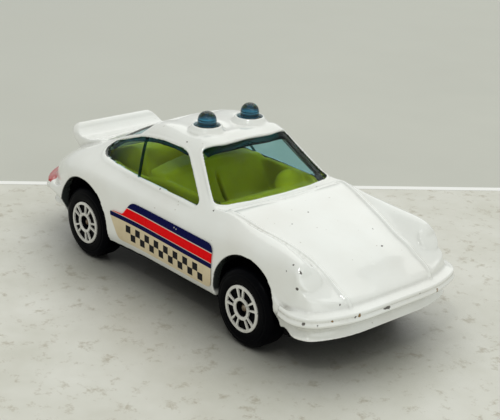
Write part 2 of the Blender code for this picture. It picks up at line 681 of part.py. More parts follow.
def build_interior(parts, tools):
    """The yellow tub: floor, door cards, dashboard, two seats and rear bench."""
    low_z = BASE_TOP_Z + GAP
    rim_z = GLASS_BOTTOM_Z - GAP
    front_x = FRONT_AXLE_X - WELL_RADIUS - WELL_WALL - GAP
    rear_x = REAR_AXLE_X + WELL_RADIUS + WELL_WALL + GAP
    side_y = TUB_HALF_WIDTH
    tub = box("interior_tub", (rear_x, -side_y, low_z), (front_x, side_y, rim_z), parts)
    hollow = box(
        "hollow", (rear_x + 1.5 * MM, -side_y + TUB_THICKNESS, low_z + TUB_THICKNESS),
        (front_x - DASH_DEPTH + 0.4 * MM, side_y - TUB_THICKNESS, REACH), tools,
    )
    combine(tub, hollow, "DIFFERENCE")
    shelf_y = WELL_INNER_Y - WELL_WALL - GAP
    bench = box(
        "bench", (-21 * MM, -shelf_y, BENCH_FLOOR_Z), (rear_x + 0.5 * MM, shelf_y, rim_z), tools
    )
    combine(tub, bench, "UNION")
    back = box(
        "rear_back", (-15.2 * MM, -7 * MM, rim_z - 1 * MM), (-12.4 * MM, 7 * MM, 16.6 * MM), tools
    )
    rounded(back, 0.7 * MM, 3)
    combine(tub, back, "UNION")
    for side in (-1, 1):
        y = side * SEAT_Y
        half = SEAT_WIDTH / 2
        cushion = box(
            "cushion", (-4 * MM, y - half, low_z), (4 * MM, y + half, 10.6 * MM), tools
        )
        rounded(cushion, 0.8 * MM, 2)
        combine(tub, cushion, "UNION")
        back = box(
            "seat_back", (-SEAT_BACK_THICKNESS / 2, y - half, 9.0 * MM),
            (SEAT_BACK_THICKNESS / 2, y + half, SEAT_TOP_Z), tools,
        )
        for vertex in back.data.vertices:
            vertex.co.x -= 3.6 * MM + 0.28 * (vertex.co.z - 9.0 * MM)
            if vertex.co.z > 12 * MM:
                vertex.co.y = y + (vertex.co.y - y) * 0.72
        rounded(back, 0.9 * MM, 3)
        combine(tub, back, "UNION")
    dash = box(
        "dash", (front_x - DASH_DEPTH, -DASH_HALF_WIDTH, 11 * MM),
        (front_x, DASH_HALF_WIDTH, rim_z + 0.9 * MM), tools,
    )
    rounded(dash, 0.7 * MM, 3)
    combine(tub, dash, "UNION")
    return tub


def build_axle(name, axle_x, parts):
    """A steel wire with a head at each end that keeps the wheels on."""
    head = WHEEL_OUTER_Y - HUB_RECESS_DEPTH + GAP + AXLE_HEAD_LENGTH
    under = head - AXLE_HEAD_LENGTH
    shaft_r, head_r = AXLE_DIAMETER / 2, AXLE_HEAD_DIAMETER / 2
    profile = [
        (0.0, head), (head_r * 0.7, head), (head_r, under + AXLE_HEAD_LENGTH * 0.4), (head_r, under),
        (shaft_r, under), (shaft_r, -under), (head_r, -under),
        (head_r, -under - AXLE_HEAD_LENGTH * 0.4), (head_r * 0.7, -head), (0.0, -head),
    ]
    axle = turned(name, profile, 14, parts)
    axle.data.transform(Matrix.Rotation(math.radians(90), 4, "X"))
    axle.location = (axle_x, 0, WHEEL_RADIUS)
    return axle


def build_wheel(name, axle_x, side, parts):
    """A one-piece black wheel: tread, sidewall, seat for the hub disc and axle hole."""
    r, w, t = WHEEL_RADIUS, WHEEL_WIDTH, TREAD_ROUND
    seat_r = DISC_DIAMETER / 2 + TRIM_GAP
    seat_z = -(DISC_THICKNESS - DISC_PROUD + TRIM_GAP)
    hub_r = HUB_HOLE_DIAMETER / 2
    bore_r = AXLE_DIAMETER / 2 + AXLE_CLEARANCE
    shoulder = [
        (r - t + t * math.cos(math.radians(a)), -t + t * math.sin(math.radians(a)) * 0.9)
        for a in (75, 38, 0)
    ]
    profile = (
        [(seat_r, seat_z), (seat_r, -0.1 * MM), (seat_r + 0.3 * MM, 0.0), (r - t * 1.4, 0.0)]
        + shoulder
        + [(r, -w + t), (r - t, -w), (bore_r, -w)]
        + [(bore_r, -HUB_RECESS_DEPTH), (hub_r, -HUB_RECESS_DEPTH), (hub_r, seat_z), (seat_r, seat_z)]
    )
    wheel = turned(name, profile, 28, parts)
    return stand_on_axle(wheel, axle_x, side)


def stand_on_axle(thing, axle_x, side):
    """Turns a part modelled about Z, face up, so that it faces out on its axle's end."""
    thing.data.transform(Matrix.Rotation(math.radians(-90 * side), 4, "X"))
    thing.location = (axle_x, side * WHEEL_OUTER_Y, WHEEL_RADIUS)
    return thing


def build_disc(name, axle_x, side, turn, parts, tools):
    """The pale hub disc with five wide and five narrow windows, turned by some degrees."""
    top = DISC_PROUD
    low = DISC_PROUD - DISC_THICKNESS
    outer, hole = DISC_DIAMETER / 2, HUB_HOLE_DIAMETER / 2 + TRIM_GAP
    profile = [(hole, top), (outer, top), (outer, low), (hole, low), (hole, top)]
    disc = turned(name, profile, 30, parts)
    pitch = 360.0 / DISC_WINDOWS
    for i in range(DISC_WINDOWS):
        for width, at in ((WIDE_WINDOW_DEGREES, 0.0), (NARROW_WINDOW_DEGREES, pitch / 2)):
            mid = i * pitch + at + turn
            r_in, r_out = WINDOW_INNER_RADIUS / MM, WINDOW_OUTER_RADIUS / MM
            a, b = mid - width / 2, mid + width / 2
            steps = 2 if width == WIDE_WINDOW_DEGREES else 1
            outline = arc(0, 0, r_in, b, a, steps) + arc(0, 0, r_out, a, b, steps)
            cutter = prism(
                "disc_window", outline, lambda u, v, w: Vector((u * MM, v * MM, w)),
                -2 * MM, 2 * MM, tools,
            )
            combine(disc, cutter, "DIFFERENCE")
    return stand_on_axle(disc, axle_x, side)


def build_label(shell_outer, side, name, parts, tools):
    """A stepped sticker that follows the door, a hair's breadth off its paint."""
    label = prism(name, LABEL_OUTLINE, side_place, side * 9 * MM, side * 18 * MM, parts)
    outer = copy_of(
        shell_outer, "label_outer", tools, (0, side * (TRIM_GAP + LABEL_THICKNESS), 0)
    )
    inner = copy_of(shell_outer, "label_inner", tools, (0, side * TRIM_GAP, 0))
    combine(label, outer, "INTERSECT")
    combine(label, inner, "DIFFERENCE")
    return label


def finish(thing, spec, angle=35.0):
    thing.data.materials.clear()
    thing.data.materials.append(material(spec))
    thing.data.shade_smooth()
    thing.data.set_sharp_from_angle(angle=math.radians(angle))


def main():
    clear_scene()
    parts = collection("patrol_coupe")
    tools = collection("cutters")
    cage = fit_cage(body_cage("cage", tools))
    cavity = smooth_solid(inner_cage(cage, WALL, "cavity", tools), 1)
    shell, shell_outer = build_body(cage, cavity, parts, tools)
    finish(shell, CAR_WHITE)
    finish(build_glazing(cage, parts, tools), GLASS_BLUE)
    finish(build_base(cage, parts, tools), BASE_BLACK)
    finish(build_interior(parts, tools), SEAT_YELLOW)
    for end, axle_x, turn in (
        ("front", FRONT_AXLE_X, FRONT_DISC_TURN_DEGREES),
        ("rear", REAR_AXLE_X, REAR_DISC_TURN_DEGREES),
    ):
        finish(build_axle(f"{end}_axle", axle_x, parts), AXLE_STEEL)
        for hand, side in (("left", 1), ("right", -1)):
            finish(build_wheel(f"wheel_{end}_{hand}", axle_x, side, parts), BASE_BLACK)
            disc = build_disc(f"hub_disc_{end}_{hand}", axle_x, side, turn, parts, tools)
            finish(disc, DISC_WHITE)
    for hand, side in (("left", 1), ("right", -1)):
        finish(build_label(shell_outer, side, f"door_label_{hand}", parts, tools), LABEL_CREAM)
    for spare in list(tools.objects):
        bpy.data.objects.remove(spare, do_unlink=True)
    bpy.data.collections.remove(tools)


main()
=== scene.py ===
"""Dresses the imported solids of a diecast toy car: enamelled shell, tinted glazing,
moulded interior, wheels and stickers, with a pale floor, soft light and the camera.

Lengths in the tables are real ones in millimetres; everything else is in metres.
"""

import math

import bmesh
import bpy
from mathutils import Matrix, Vector
from mathutils.bvhtree import BVHTree


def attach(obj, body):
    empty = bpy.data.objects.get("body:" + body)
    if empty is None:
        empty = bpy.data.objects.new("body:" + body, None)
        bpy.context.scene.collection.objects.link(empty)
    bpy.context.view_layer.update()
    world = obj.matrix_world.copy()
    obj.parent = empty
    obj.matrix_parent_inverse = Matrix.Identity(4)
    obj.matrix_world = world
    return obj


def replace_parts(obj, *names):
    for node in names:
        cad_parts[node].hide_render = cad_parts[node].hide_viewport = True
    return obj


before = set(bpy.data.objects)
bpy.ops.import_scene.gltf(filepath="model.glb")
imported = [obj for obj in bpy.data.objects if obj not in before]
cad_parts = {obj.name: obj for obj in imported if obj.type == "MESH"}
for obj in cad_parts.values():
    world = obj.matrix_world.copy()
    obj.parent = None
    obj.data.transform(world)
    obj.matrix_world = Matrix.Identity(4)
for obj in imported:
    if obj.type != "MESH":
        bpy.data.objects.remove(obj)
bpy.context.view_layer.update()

MM = 0.001
SIDES = (-1, 1)
HAND = {-1: "right", 1: "left"}
# Marks on the faces of the cage, for the upper patch and its first row at the nose.
UPPER_FACE, NOSE_FACE = 1, 2
# How many sides a round bar has, and the turn from which an edge is shaded as sharp.
BAR_SIDES = 8
SHARP_DEGREES = 40

# Running gear
FRONT_AXLE_X = 20.0 * MM
REAR_AXLE_X = -18.0 * MM
WHEEL_RADIUS = 5.65 * MM
WHEEL_OUTER_Y = 13.65 * MM
HUB_RECESS_DEPTH = 0.9 * MM

# Casting and glazing
WALL = 0.55 * MM
GLASS_DEPTH = 0.3 * MM
GLASS_THICKNESS = 0.7 * MM
PAINT_VOXEL = 0.155 * MM
ARCH_RADIUS = 6.5
ARCH_TOP_Z = 13.3
ARCH_LOW_Z = -3.0
ARCH_OFFSET_X = 0.4
ARCH_INNER_Y = 9.4 * MM
BUMPER_PROUD = 1.3
BEACON_X = -0.1 * MM
BEACON_Y = 4.1 * MM
BEACON_TOP_Z = 27.0 * MM
PLINTH_TOP_Z = 24.7 * MM
WING_HALF_WIDTH = 8.2
WING_CORNER_RADIUS = 1.9
WING_TAPER = 0.4
WING_FOOT_Z = 10.0
REACH = 40.0 * MM
# Steps in one turn of lamps, round holes and lenses, wheels, and posts.
LAMP_STEPS, ROUND_STEPS, WHEEL_STEPS, POST_STEPS = 40, 48, 96, 28
# Corner rounding of outlines and sections, in millimetres.
ROUNDING = {
    "side_window": 0.8, "slope_window": 0.35, "wing": 0.6, "wheel": 0.25, "disc": 0.12,
    "disc_window": 0.16, "label": 0.5,
}

# Guide lines of the body's upper surface, nose to tail, in millimetres. Each holds one
# point for each of the same 17 stations: the centre line, a line halfway out, the bonnet
# seam that becomes the roof edge, the wing crown that becomes the belt, and the shoulder.
CENTRE_LINE = (
    (34.3, 0.0, 10.4), (33.2, 0.0, 11.1), (31.5, 0.0, 12.1), (28.8, 0.0, 13.6),
    (24.0, 0.0, 15.2), (19.0, 0.0, 16.4), (14.3, 0.0, 17.1), (11.9, 0.0, 17.5),
    (4.7, 0.0, 23.2), (1.0, 0.0, 23.95), (-5.0, 0.0, 24.1), (-11.5, 0.0, 22.7),
    (-17.0, 0.0, 20.1), (-22.0, 0.0, 17.6), (-27.0, 0.0, 15.3), (-31.5, 0.0, 12.7),
    (-34.2, 0.0, 10.4),
)
MID_LINE = (
    (34.3, 4.0, 10.4), (33.1, 4.1, 11.1), (31.4, 4.1, 12.1), (28.7, 4.1, 13.55),
    (24.0, 4.4, 15.15), (19.0, 4.9, 16.3), (14.2, 5.3, 17.1), (11.6, 5.4, 17.45),
    (4.6, 4.3, 23.0), (1.0, 4.3, 23.75), (-5.0, 4.3, 23.9), (-11.5, 4.2, 22.4),
    (-17.0, 4.3, 19.85), (-22.0, 4.4, 17.4), (-27.0, 4.3, 15.2), (-31.5, 3.8, 12.6),
    (-34.0, 3.2, 10.4),
)
SEAM_LINE = (
    (34.0, 7.8, 10.5), (33.0, 8.0, 11.1), (31.2, 8.05, 12.0), (29.0, 8.1, 13.2),
    (23.6, 8.75, 15.0), (18.8, 9.8, 16.0), (13.9, 10.4, 17.0), (10.6, 10.2, 17.2),
    (4.2, 8.2, 22.3), (1.0, 8.3, 22.75), (-5.0, 8.3, 22.9), (-11.5, 7.9, 21.3),
    (-17.0, 8.0, 18.9), (-22.0, 8.3, 16.7), (-27.2, 7.8, 14.7), (-31.3, 6.8, 12.2),
    (-33.2, 6.0, 10.4),
)
CROWN_LINE = (
    (33.1, 10.8, 11.0), (32.3, 10.8, 11.4), (30.7, 11.0, 13.1), (29.3, 11.2, 15.0),
    (24.5, 11.0, 16.05), (19.0, 11.2, 16.4), (14.0, 11.5, 16.7), (9.5, 11.5, 16.6),
    (4.0, 11.55, 16.3), (0.0, 11.6, 16.3), (-5.0, 11.6, 16.4), (-11.5, 11.6, 16.5),
    (-17.0, 11.7, 16.6), (-22.0, 11.5, 16.0), (-26.8, 10.6, 14.1), (-30.5, 9.3, 12.0),
    (-32.1, 8.2, 10.4),
)
SHOULDER_LINE = (
    (32.0, 12.8, 11.2), (31.4, 13.05, 11.7), (30.3, 13.25, 12.7), (29.0, 13.05, 14.25),
    (24.5, 13.1, 14.8), (19.5, 13.2, 14.9), (14.0, 13.1, 14.5), (9.0, 13.0, 14.3),
    (4.0, 13.0, 14.2), (0.0, 13.0, 14.2), (-5.0, 13.1, 14.3), (-11.5, 13.7, 14.6),
    (-17.0, 14.2, 14.7), (-22.0, 13.8, 14.1), (-26.3, 12.8, 12.5), (-29.1, 11.3, 11.5),
    (-30.4, 10.3, 10.4),
)
UPPER_LINES = (CENTRE_LINE, MID_LINE, SEAM_LINE, CROWN_LINE, SHOULDER_LINE)

# Plan outline of the lower body, nose centre to tail centre, in millimetres. The first
# and last four points lie across the nose and the tail, the rest along the side.
PLAN_LINE = (
    (34.5, 0.0), (34.5, 4.0), (34.3, 7.6), (33.5, 10.8), (32.6, 12.75), (31.7, 13.4),
    (30.3, 13.7), (27.8, 13.7), (24.5, 13.5), (19.5, 13.6), (14.0, 13.5), (9.0, 13.5),
    (4.0, 13.5), (0.0, 13.5), (-5.0, 13.6), (-11.5, 14.1), (-17.0, 14.5), (-22.0, 14.1),
    (-25.6, 13.3), (-28.3, 12.2), (-30.6, 10.6), (-32.4, 8.4), (-33.6, 6.0),
    (-34.3, 3.2), (-34.5, 0.0),
)
# Heights in millimetres of the six loops under the shoulder, at the bumpers and doors.
BUMPER_LEVELS_Z = (9.85, 9.6, 8.95, 8.2, 7.0, 5.8)
DOOR_LEVELS_Z = (12.2, 10.6, 9.0, 7.6, 6.3, 5.1)
# How far each loop stands out of the plan outline, as shares of the bumper's own depth,
# and in millimetres on the doors.
BUMPER_SHARES = (0.0, 0.65, 1.0, 0.9, -0.3, 0.3)
DOOR_SWELL = (0.1, 0.25, 0.3, 0.25, 0.1, -0.4)
# How far each loop of the bumper tucks in beside the wheel arch, in millimetres.
ARCH_TUCK = (0.0, 0.0, 0.0, 0.0, 0.5, 1.1)
FRONT_BUMPER_END = 26.0
REAR_BUMPER_END = -23.5
BUMPER_FADE = 4.5
BUMPER_RISE = 2.8

# Window outlines in millimetres. The side window is seen from the side, as x and z.
# The windscreen and rear window are half outlines, as y and distance up their slope.
SIDE_WINDOW = (
    (7.6, 16.3), (1.0, 16.35), (-6.6, 16.5), (-12.3, 16.75), (-15.4, 17.05), (-16.7, 17.55),
    (-16.7, 18.25), (-14.6, 19.2), (-10.6, 20.6), (-8.1, 21.2), (-4.8, 21.75), (-1.8, 21.9),
    (0.5, 21.8), (1.6, 21.55),
)
WINDSCREEN_FOOT = (10.44, 16.84)
WINDSCREEN_HEAD = (4.1, 22.36)
WINDSCREEN_HALF = (
    (0.0, -1.0), (5.5, -0.8), (9.4, -0.25), (10.2, 0.1), (10.4, 0.5), (7.75, 8.65),
    (4.5, 8.3), (0.0, 8.4),
)
REAR_WINDOW_FOOT = (-21.6, 17.4)
REAR_WINDOW_HEAD = (-8.8, 22.9)
REAR_WINDOW_HALF = (
    (0.0, 0.0), (6.6, 0.1), (7.3, 0.5), (7.5, 1.2), (7.9, 11.4), (7.2, 13.1), (6.2, 13.8),
    (0.0, 14.0),
)
# Wing section in millimetres, as x and z, from its root round the lip and back under.
WING_SECTION = (
    (-21.8, 17.3), (-24.8, 16.5), (-27.3, 16.4), (-28.5, 17.0), (-29.2, 17.8),
    (-29.8, 18.0), (-30.2, 17.7), (-30.1, 17.0), (-29.0, 15.5), (-27.3, 14.3),
    (-22.0, 15.2),
)
# Door label outline in millimetres, as x and z.
LABEL_OUTLINE = (
    (-10.0, 10.2), (-8.3, 6.9), (-7.7, 6.4), (13.0, 6.3), (13.6, 6.8), (13.6, 12.1),
    (13.0, 12.8), (-4.9, 13.0), (-5.6, 12.7), (-7.1, 10.7), (-9.8, 10.6),
)

# How crisp the cast edges are, from 0 to 1: under the fender's front corner, station by
# station, across the ledge under the lamps, across the bonnet's front edge, and along
# the loops of the bumpers, from the top one down.
FENDER_CORNER_CREASES = (0.9, 0.85, 0.6)
LEDGE_CREASE = 0.85
BONNET_EDGE_CREASE = 0.35
BUMPER_CREASES = (0.7, 0.5, 0.0, 0.5, 0.2)

# Raised seam round the bonnet: half of it, from the bumper back to the centre, as x and y.
BONNET_SEAM = (
    (34.3, 7.66), (33.03, 8.03), (31.25, 8.05), (29.18, 8.07), (27.18, 8.01),
    (23.37, 8.75), (18.67, 9.87), (13.9, 10.67), (13.2, 10.5), (12.95, 9.9),
    (13.4, 6.5), (14.0, 3.2), (14.3, 0.0),
)
ENGINE_LID_SEAM = (
    (-33.4, 6.2), (-31.3, 6.7), (-27.6, 7.2), (-24.6, 7.7), (-23.9, 7.4), (-23.7, 6.6),
    (-23.5, 3.0), (-23.4, 0.0),
)

# Details of the casting, in millimetres. Turned profiles are radius and height.
WINDOWS_IN_SLOPES = (
    (WINDSCREEN_HALF, WINDSCREEN_FOOT, WINDSCREEN_HEAD),
    (REAR_WINDOW_HALF, REAR_WINDOW_FOOT, REAR_WINDOW_HEAD),
)
WINDOW_INNER_Y = 6.5 * MM
SLOPE_CUT = 3.2 * MM
SLOPE_RAY = 12 * MM
BEAD_RADIUS = 0.24 * MM
BEAD_PROUD = 0.1 * MM
BEAD_OFFSET = 0.3
WINDOW_GROWTH = 0.25
HANG_DROP = 1.2 * MM
HANG_TUCK = 0.35 * MM
CAVITY_LOW_Z = -2 * MM
SEAM_RADIUS = 0.32 * MM
SEAM_PROUD = 0.3 * MM
SEAM_STEP = 0.4
RIDGE_LEVELS_Z = (9.3, 8.5)
RIDGE_START_X = 27.5
RIDGE_CENTRE_X = 20
RIDGE_RADIUS = 0.34
RIDGE_SUNK = 0.06
RIDGE_STEP = 0.5
LAMP_CENTRE = (30.6, 11.45, 13.4)
LAMP_RAKE_DEGREES = 36.0
LAMP_PROFILE = (
    (0.0, 0.12), (0.9, 0.1), (1.5, 0.02), (1.72, -0.04), (1.84, -0.2), (1.9, -0.9),
    (0.0, -0.9),
)
LAMP_RECESS = ((1.78, 1.0), (1.98, 1.0), (1.98, -0.12), (1.78, -0.12))
PLINTH_PROFILE = (
    (1.95, 0.1), (2.2, 0.1), (2.45, -0.35), (2.8, -0.7), (2.85, -1.6), (1.95, -1.6),
)
POST_X = (29.3, -29.0)
POST_PROFILE = (
    (0.0, 12.6), (1.5, 12.6), (1.5, 6.4), (2.1, 6.3), (2.05, 6.1), (1.6, 5.92), (0.0, 5.9),
)
SHELL_KEEP = 0.3
GLASS_REAR_X = -23.6
GLASS_FRONT_X = 12.4
GLASS_BOTTOM_Z = 14.6
BEACON_PROFILE = (
    (0.0, -0.2), (0.36, -0.24), (0.7, -0.36), (1.0, -0.58), (1.2, -0.83), (1.33, -1.12),
    (1.36, -1.22), (1.33, -1.3), (1.4, -1.42), (1.42, -1.6), (1.37, -1.7), (1.43, -1.82),
    (1.44, -2.0), (1.38, -2.1), (1.45, -2.25), (1.5, -2.42), (1.74, -2.5), (1.78, -2.62),
    (1.78, -5.4), (0.0, -5.4),
)

# Dark ribs on the inside of the glass, just under the tops of the openings: partly the glass's
# thick edge, partly painted shade from the roof's edge.
RIB_STEP = 0.6
RIB_DEPTH = 0.95 * MM
RIB_RADIUS = 0.7 * MM
SCREEN_RIB = (8.45, 8.0, 0.5)
SIDE_RIB = (
    (-17.0, 18.1), (-16.4, 19.0), (-14.4, 20.0), (-10.6, 21.2), (-8.1, 21.75), (-4.8, 22.25),
    (-1.8, 22.4), (1.2, 22.2),
)
# The side glass's divider: its foot as x and z, how far it leans back, and its height.
DIVIDER = (-6.5, 16.0, 2.3, 5.6)
DIVIDER_RADIUS = 0.24 * MM
DIVIDER_PROUD = 0.05 * MM

# Turned profiles of the running gear in millimetres, radius and height off the face.
WHEEL_PROFILE = (
    (3.42, -0.26), (3.42, -0.1), (3.7, 0.0), (4.55, 0.0), (4.7, -0.1), (4.9, -0.06),
    (5.3, -0.28), (5.6, -0.62), (5.65, -1.1), (5.65, -3.3), (5.45, -3.85), (5.0, -4.0),
    (0.65, -4.0), (0.65, -0.9), (1.0, -0.9), (1.0, -0.26),
)
DISC_PROFILE = ((1.12, 0.1), (3.34, 0.1), (3.34, -0.16), (1.12, -0.16))
AXLE_END = (
    (0.0, -0.06), (0.26, -0.08), (0.44, -0.16), (0.54, -0.3), (0.54, -0.5), (0.5, -0.54),
)
# The hub face's windows: how many degrees wide, and where in each fifth of the turn.
DISC_WINDOWS = ((41.0, 0.0), (18.0, 36.0))
DISC_WINDOW_INNER = 1.58
DISC_WINDOW_OUTER = 2.92
AXLE_END_PROUD = 0.65
DISC_TURNS = {"front": 61.0, "rear": 36.0}

# Outer and inner side of the sticker film, as distances off the door.
LABEL_OUTER = 0.2 * MM
LABEL_INNER = 0.12 * MM
LABEL_NEAR = 9 * MM
LABEL_FAR = 18 * MM


# Interior moulding in millimetres: sections as x and z, then the y that they run between.
TUB_FLOOR = ((-9.7, 5.9), (11.8, 5.9), (11.8, 6.9), (-9.7, 6.9))
TUB_CARD = (
    (-9.7, 5.9), (11.8, 5.9), (11.4, 14.2), (9.4, 16.2), (8.4, 16.6), (-2.0, 16.6),
    (-6.0, 15.6), (-12.0, 15.4), (-16.0, 15.9), (-16.6, 15.2), (-16.0, 13.9), (-9.7, 13.9),
)
TUB_SEAT = (
    (4.4, 6.2), (4.6, 9.9), (3.8, 10.8), (0.2, 12.0), (-1.5, 14.6), (-2.6, 17.0),
    (-3.4, 17.3), (-6.0, 16.7), (-9.8, 12.0), (-9.8, 6.2),
)
TUB_BENCH = (
    (-9.8, 6.2), (-9.4, 13.4), (-11.6, 17.4), (-12.6, 18.2), (-14.2, 18.2), (-18.0, 17.0),
    (-20.2, 15.9), (-20.8, 15.2), (-20.8, 8.2), (-9.8, 8.2),
)
TUB_TUNNEL = (
    (8.5, 6.2), (8.5, 11.0), (3.0, 9.0), (-2.0, 9.5), (-3.5, 13.0), (-9.8, 13.4), (-9.8, 6.2),
)
TUB_DASH = (
    (6.6, 9.0), (6.4, 14.4), (6.9, 15.4), (7.8, 15.7), (8.8, 15.6), (10.6, 14.5),
    (11.8, 13.6), (11.8, 6.2), (9.0, 6.2),
)
TUB_PIECES = (
    (TUB_FLOOR, -9.9, 9.9, 0.2), (TUB_CARD, 8.9, 9.9, 0.8), (TUB_CARD, -9.9, -8.9, 0.8),
    (TUB_SEAT, 0.25, 9.3, 1.2), (TUB_SEAT, -9.3, -0.25, 1.2), (TUB_BENCH, -7.2, 7.2, 1.2),
    (TUB_TUNNEL, -1.8, 1.8, 1.0), (TUB_DASH, -9.4, 9.4, 1.0),
)
# The seat backs' shared arch: where it stands, half its width, its ends and its fall.
BACK_REAR_X, BACK_FRONT_X = -6.6, -2.6
BACK_HALF_WIDTH = 9.5
BACK_TOP_Z = 18.35
BACK_LOW_Z = 6.2
BACK_FALL = 0.0165
# The rounded cowl over the instruments.
COWL_CENTRE = (6.0, 7.0, 14.9)
COWL_SIZE = (1.9, 2.5, 2.5)
TUB_VOXEL = 0.28 * MM

# Surfaces that face the cabin's middle get a near-black painted shade, over the casting's dull
# inside,
# between these ends: axis, place and width of the fade, and the mask before and after it.
CABIN_MIDDLE = (-3.0, 0.0, 15.0)
INSIDE_ENDS = (
    (2, 14.0, 0.5, 0.0, 1.0), (2, 22.9, 0.4, 1.0, 0.0), (0, -20.0, 0.5, 0.0, 1.0),
    (0, 11.0, 0.5, 1.0, 0.0),
)

# Wear and print, in millimetres. A chip is x, y, z, half its width along Y and across.
PAINT_CHIPS = (
    (28.56, -12.77, 15.0, 0.25, 0.14), (28.5, -9.48, 14.0, 0.24, 0.22),
    (29.95, -12.63, 14.4, 0.13, 0.26), (30.18, -13.37, 12.41, 0.22, 0.22),
    (27.83, -13.23, 14.01, 0.2, 0.1), (32.78, -14.31, 8.81, 0.34, 0.2),
    (33.99, -13.02, 8.64, 0.28, 0.15), (35.52, -7.99, 9.04, 0.13, 0.2),
    (35.82, -2.33, 8.81, 0.7, 0.22), (35.78, -0.13, 8.46, 0.2, 0.16),
    (35.7, 3.99, 9.18, 0.15, 0.18), (33.82, -9.12, 10.39, 0.1, 0.14),
    (28.65, 3.77, 13.6, 0.2, 0.14), (18.77, -1.0, 16.45, 0.12, 0.12),
    (20.05, -5.17, 16.04, 0.1, 0.12), (25.31, 5.38, 14.6, 0.1, 0.12),
    (12.73, 6.49, 16.77, 0.15, 0.12), (11.03, -11.6, 16.54, 0.15, 0.12),
    (0.41, -8.14, 22.95, 0.12, 0.12), (-1.07, -11.75, 16.04, 0.2, 0.1),
)
RUST_SPOTS = (
    (35.57, -7.32, 9.15, 0.26, 0.3), (35.61, 7.63, 8.59, 0.28, 0.3),
    (34.66, -11.25, 9.09, 0.2, 0.2),
)
STICKER_NICKS = ((5.0, -13.6, 12.5, 0.3, 0.12), (5.5, -13.6, 12.4, 0.3, 0.12))
LAMP_BAND_LOW_Z = 9.25
LAMP_BAND_HIGH_Z = 10.9
# The sticker's bands from the top down, as low and high edge and colour.
PRINT_BLUR = 0.02 * MM
BAND_SLOPE = 0.02
BANDS = (
    (11.9, 14.0, (0.0, 0.001, 0.055)), (11.78, 11.9, (0.62, 0.58, 0.5)),
    (10.4, 11.78, (0.80, 0.0, 0.003)), (10.32, 10.4, (0.62, 0.58, 0.5)),
    (9.63, 10.32, (0.0, 0.001, 0.055)),
)
CHEQUER_X = -6.2
CHEQUER_LOW = 6.95
CHEQUER_SIZE = 1.13
CHEQUER_COUNT = 16
GLASS_TINT = (0.57, 0.77, 0.80)
GLASS_SHADOW = (0.58, 0.75, 0.77)
# Dark tint of the glass ribs, partly their thickness and partly painted shade under the roof's
# edge; the dividers share it.
RIB_AND_SHADE_TINT = (0.02, 0.10, 0.11)
BEACON_TINT = (0.02, 0.20, 0.33)

# Camera, lights and surroundings, in metres but for the camera's place in millimetres.
CAMERA_PLACE = (126.768, -107.818, 74.973)
CAMERA_RIGHT = (0.65199, 0.75710, 0.04125)
CAMERA_UP = (-0.29842, 0.20622, 0.93189)
CAMERA_LENS = 84.40
SENSOR_WIDTH = 36.0
CLIP_START = 0.005
WORKTOP_EDGE_LEFT = Vector((-0.0559, -0.0074, 0.0))
WORKTOP_EDGE_RIGHT = Vector((0.0001, 0.0683, 0.0))
EDGE_STRIP = 0.0017
# Name, place, aim, size, watts and colour of each lamp.
LAMPS = (
    ("overhead", (-0.29, 0.35, 0.56), (0, 0, 0), (0.85, 0.85), 1.8, (0.99, 1.0, 0.965)),
    ("ceiling", (0.20, -0.30, 0.50), (0, 0, 0.01), (0.06, 0.06), 0.45, (1.0, 1.0, 0.98)),
    ("window", (0.50, -0.05, 0.26), (0, 0, 0.01), (0.35, 0.35), 0.4, (0.95, 0.995, 1.0)),
)
ROOM_COLOUR = (0.81, 0.825, 0.80, 1.0)
ROOM_STRENGTH = 0.74
EXPOSURE = 0.0


def add_object(name, data):
    made = bpy.data.objects.new(name, data)
    bpy.context.scene.collection.objects.link(made)
    return made


def remove(thing):
    bpy.data.objects.remove(thing, do_unlink=True)


def mesh_object(name, bm):
    bmesh.ops.recalc_face_normals(bm, faces=bm.faces)
    mesh = bpy.data.meshes.new(name)
    bm.to_mesh(mesh)
    bm.free()
    return add_object(name, mesh)


def copy_of(thing, name):
    return add_object(name, thing.data.copy())


def move(thing, *offset):
    thing.data.transform(Matrix.Translation(offset))
    return thing


def crisp(thing):
    """Smooth shading but for the edges that turn sharply."""
    thing.data.shade_smooth()
    thing.data.set_sharp_from_angle(angle=math.radians(SHARP_DEGREES))
    return thing


def modify(thing, kind, **settings):
    """Replaces an object's mesh by what one modifier makes of it."""
    modifier = thing.modifiers.new(kind.lower(), kind)
    for key, value in settings.items():
        setattr(modifier, key, value)
    bpy.context.view_layer.update()
    graph = bpy.context.evaluated_depsgraph_get()
    mesh = bpy.data.meshes.new_from_object(thing.evaluated_get(graph))
    thing.modifiers.clear()
    thing.data = mesh
    return thing


def combine(thing, other, operation="DIFFERENCE"):
    """Cuts, joins or intersects thing with other by an exact Boolean, and uses other up."""
    modify(thing, "BOOLEAN", operation=operation, solver="EXACT", object=other)
    remove(other)
    return thing


def melt(thing, voxel, rounds):
    """Makes one skin with soft edges of all that an object holds."""
    modify(thing, "REMESH", mode="VOXEL", voxel_size=voxel)
    modify(thing, "SMOOTH", factor=0.5, iterations=rounds)
    modify(thing, "DECIMATE", ratio=SHELL_KEEP)
    thing.data.shade_smooth()
    return thing


def join(things):
    """Puts several meshes into the first one, without cutting them."""
    bm = bmesh.new()
    for thing in things:
        bm.from_mesh(thing.data)
    bm.to_mesh(things[0].data)
    bm.free()
    for spare in things[1:]:
        remove(spare)
    return things[0]


def side_place(u, v, w):
    return Vector((u * MM, w, v * MM))


def front_place(u, v, w):
    return Vector((w, u * MM, v * MM))


def top_place(u, v, w):
    return Vector((u * MM, v * MM, w))


def slope_place(foot, head):
    """Places (y, distance up the slope, height off it) on the plane through foot and head."""
    start = Vector((foot[0], 0, foot[1])) * MM
    up = (Vector((head[0], 0, head[1])) * MM - start).normalized()
    off = Vector((up.z, 0, -up.x))
    if off.z < 0:
        off = -off
    return lambda y, s, w: start + Vector((0, y * MM, 0)) + up * (s * MM) + off * w


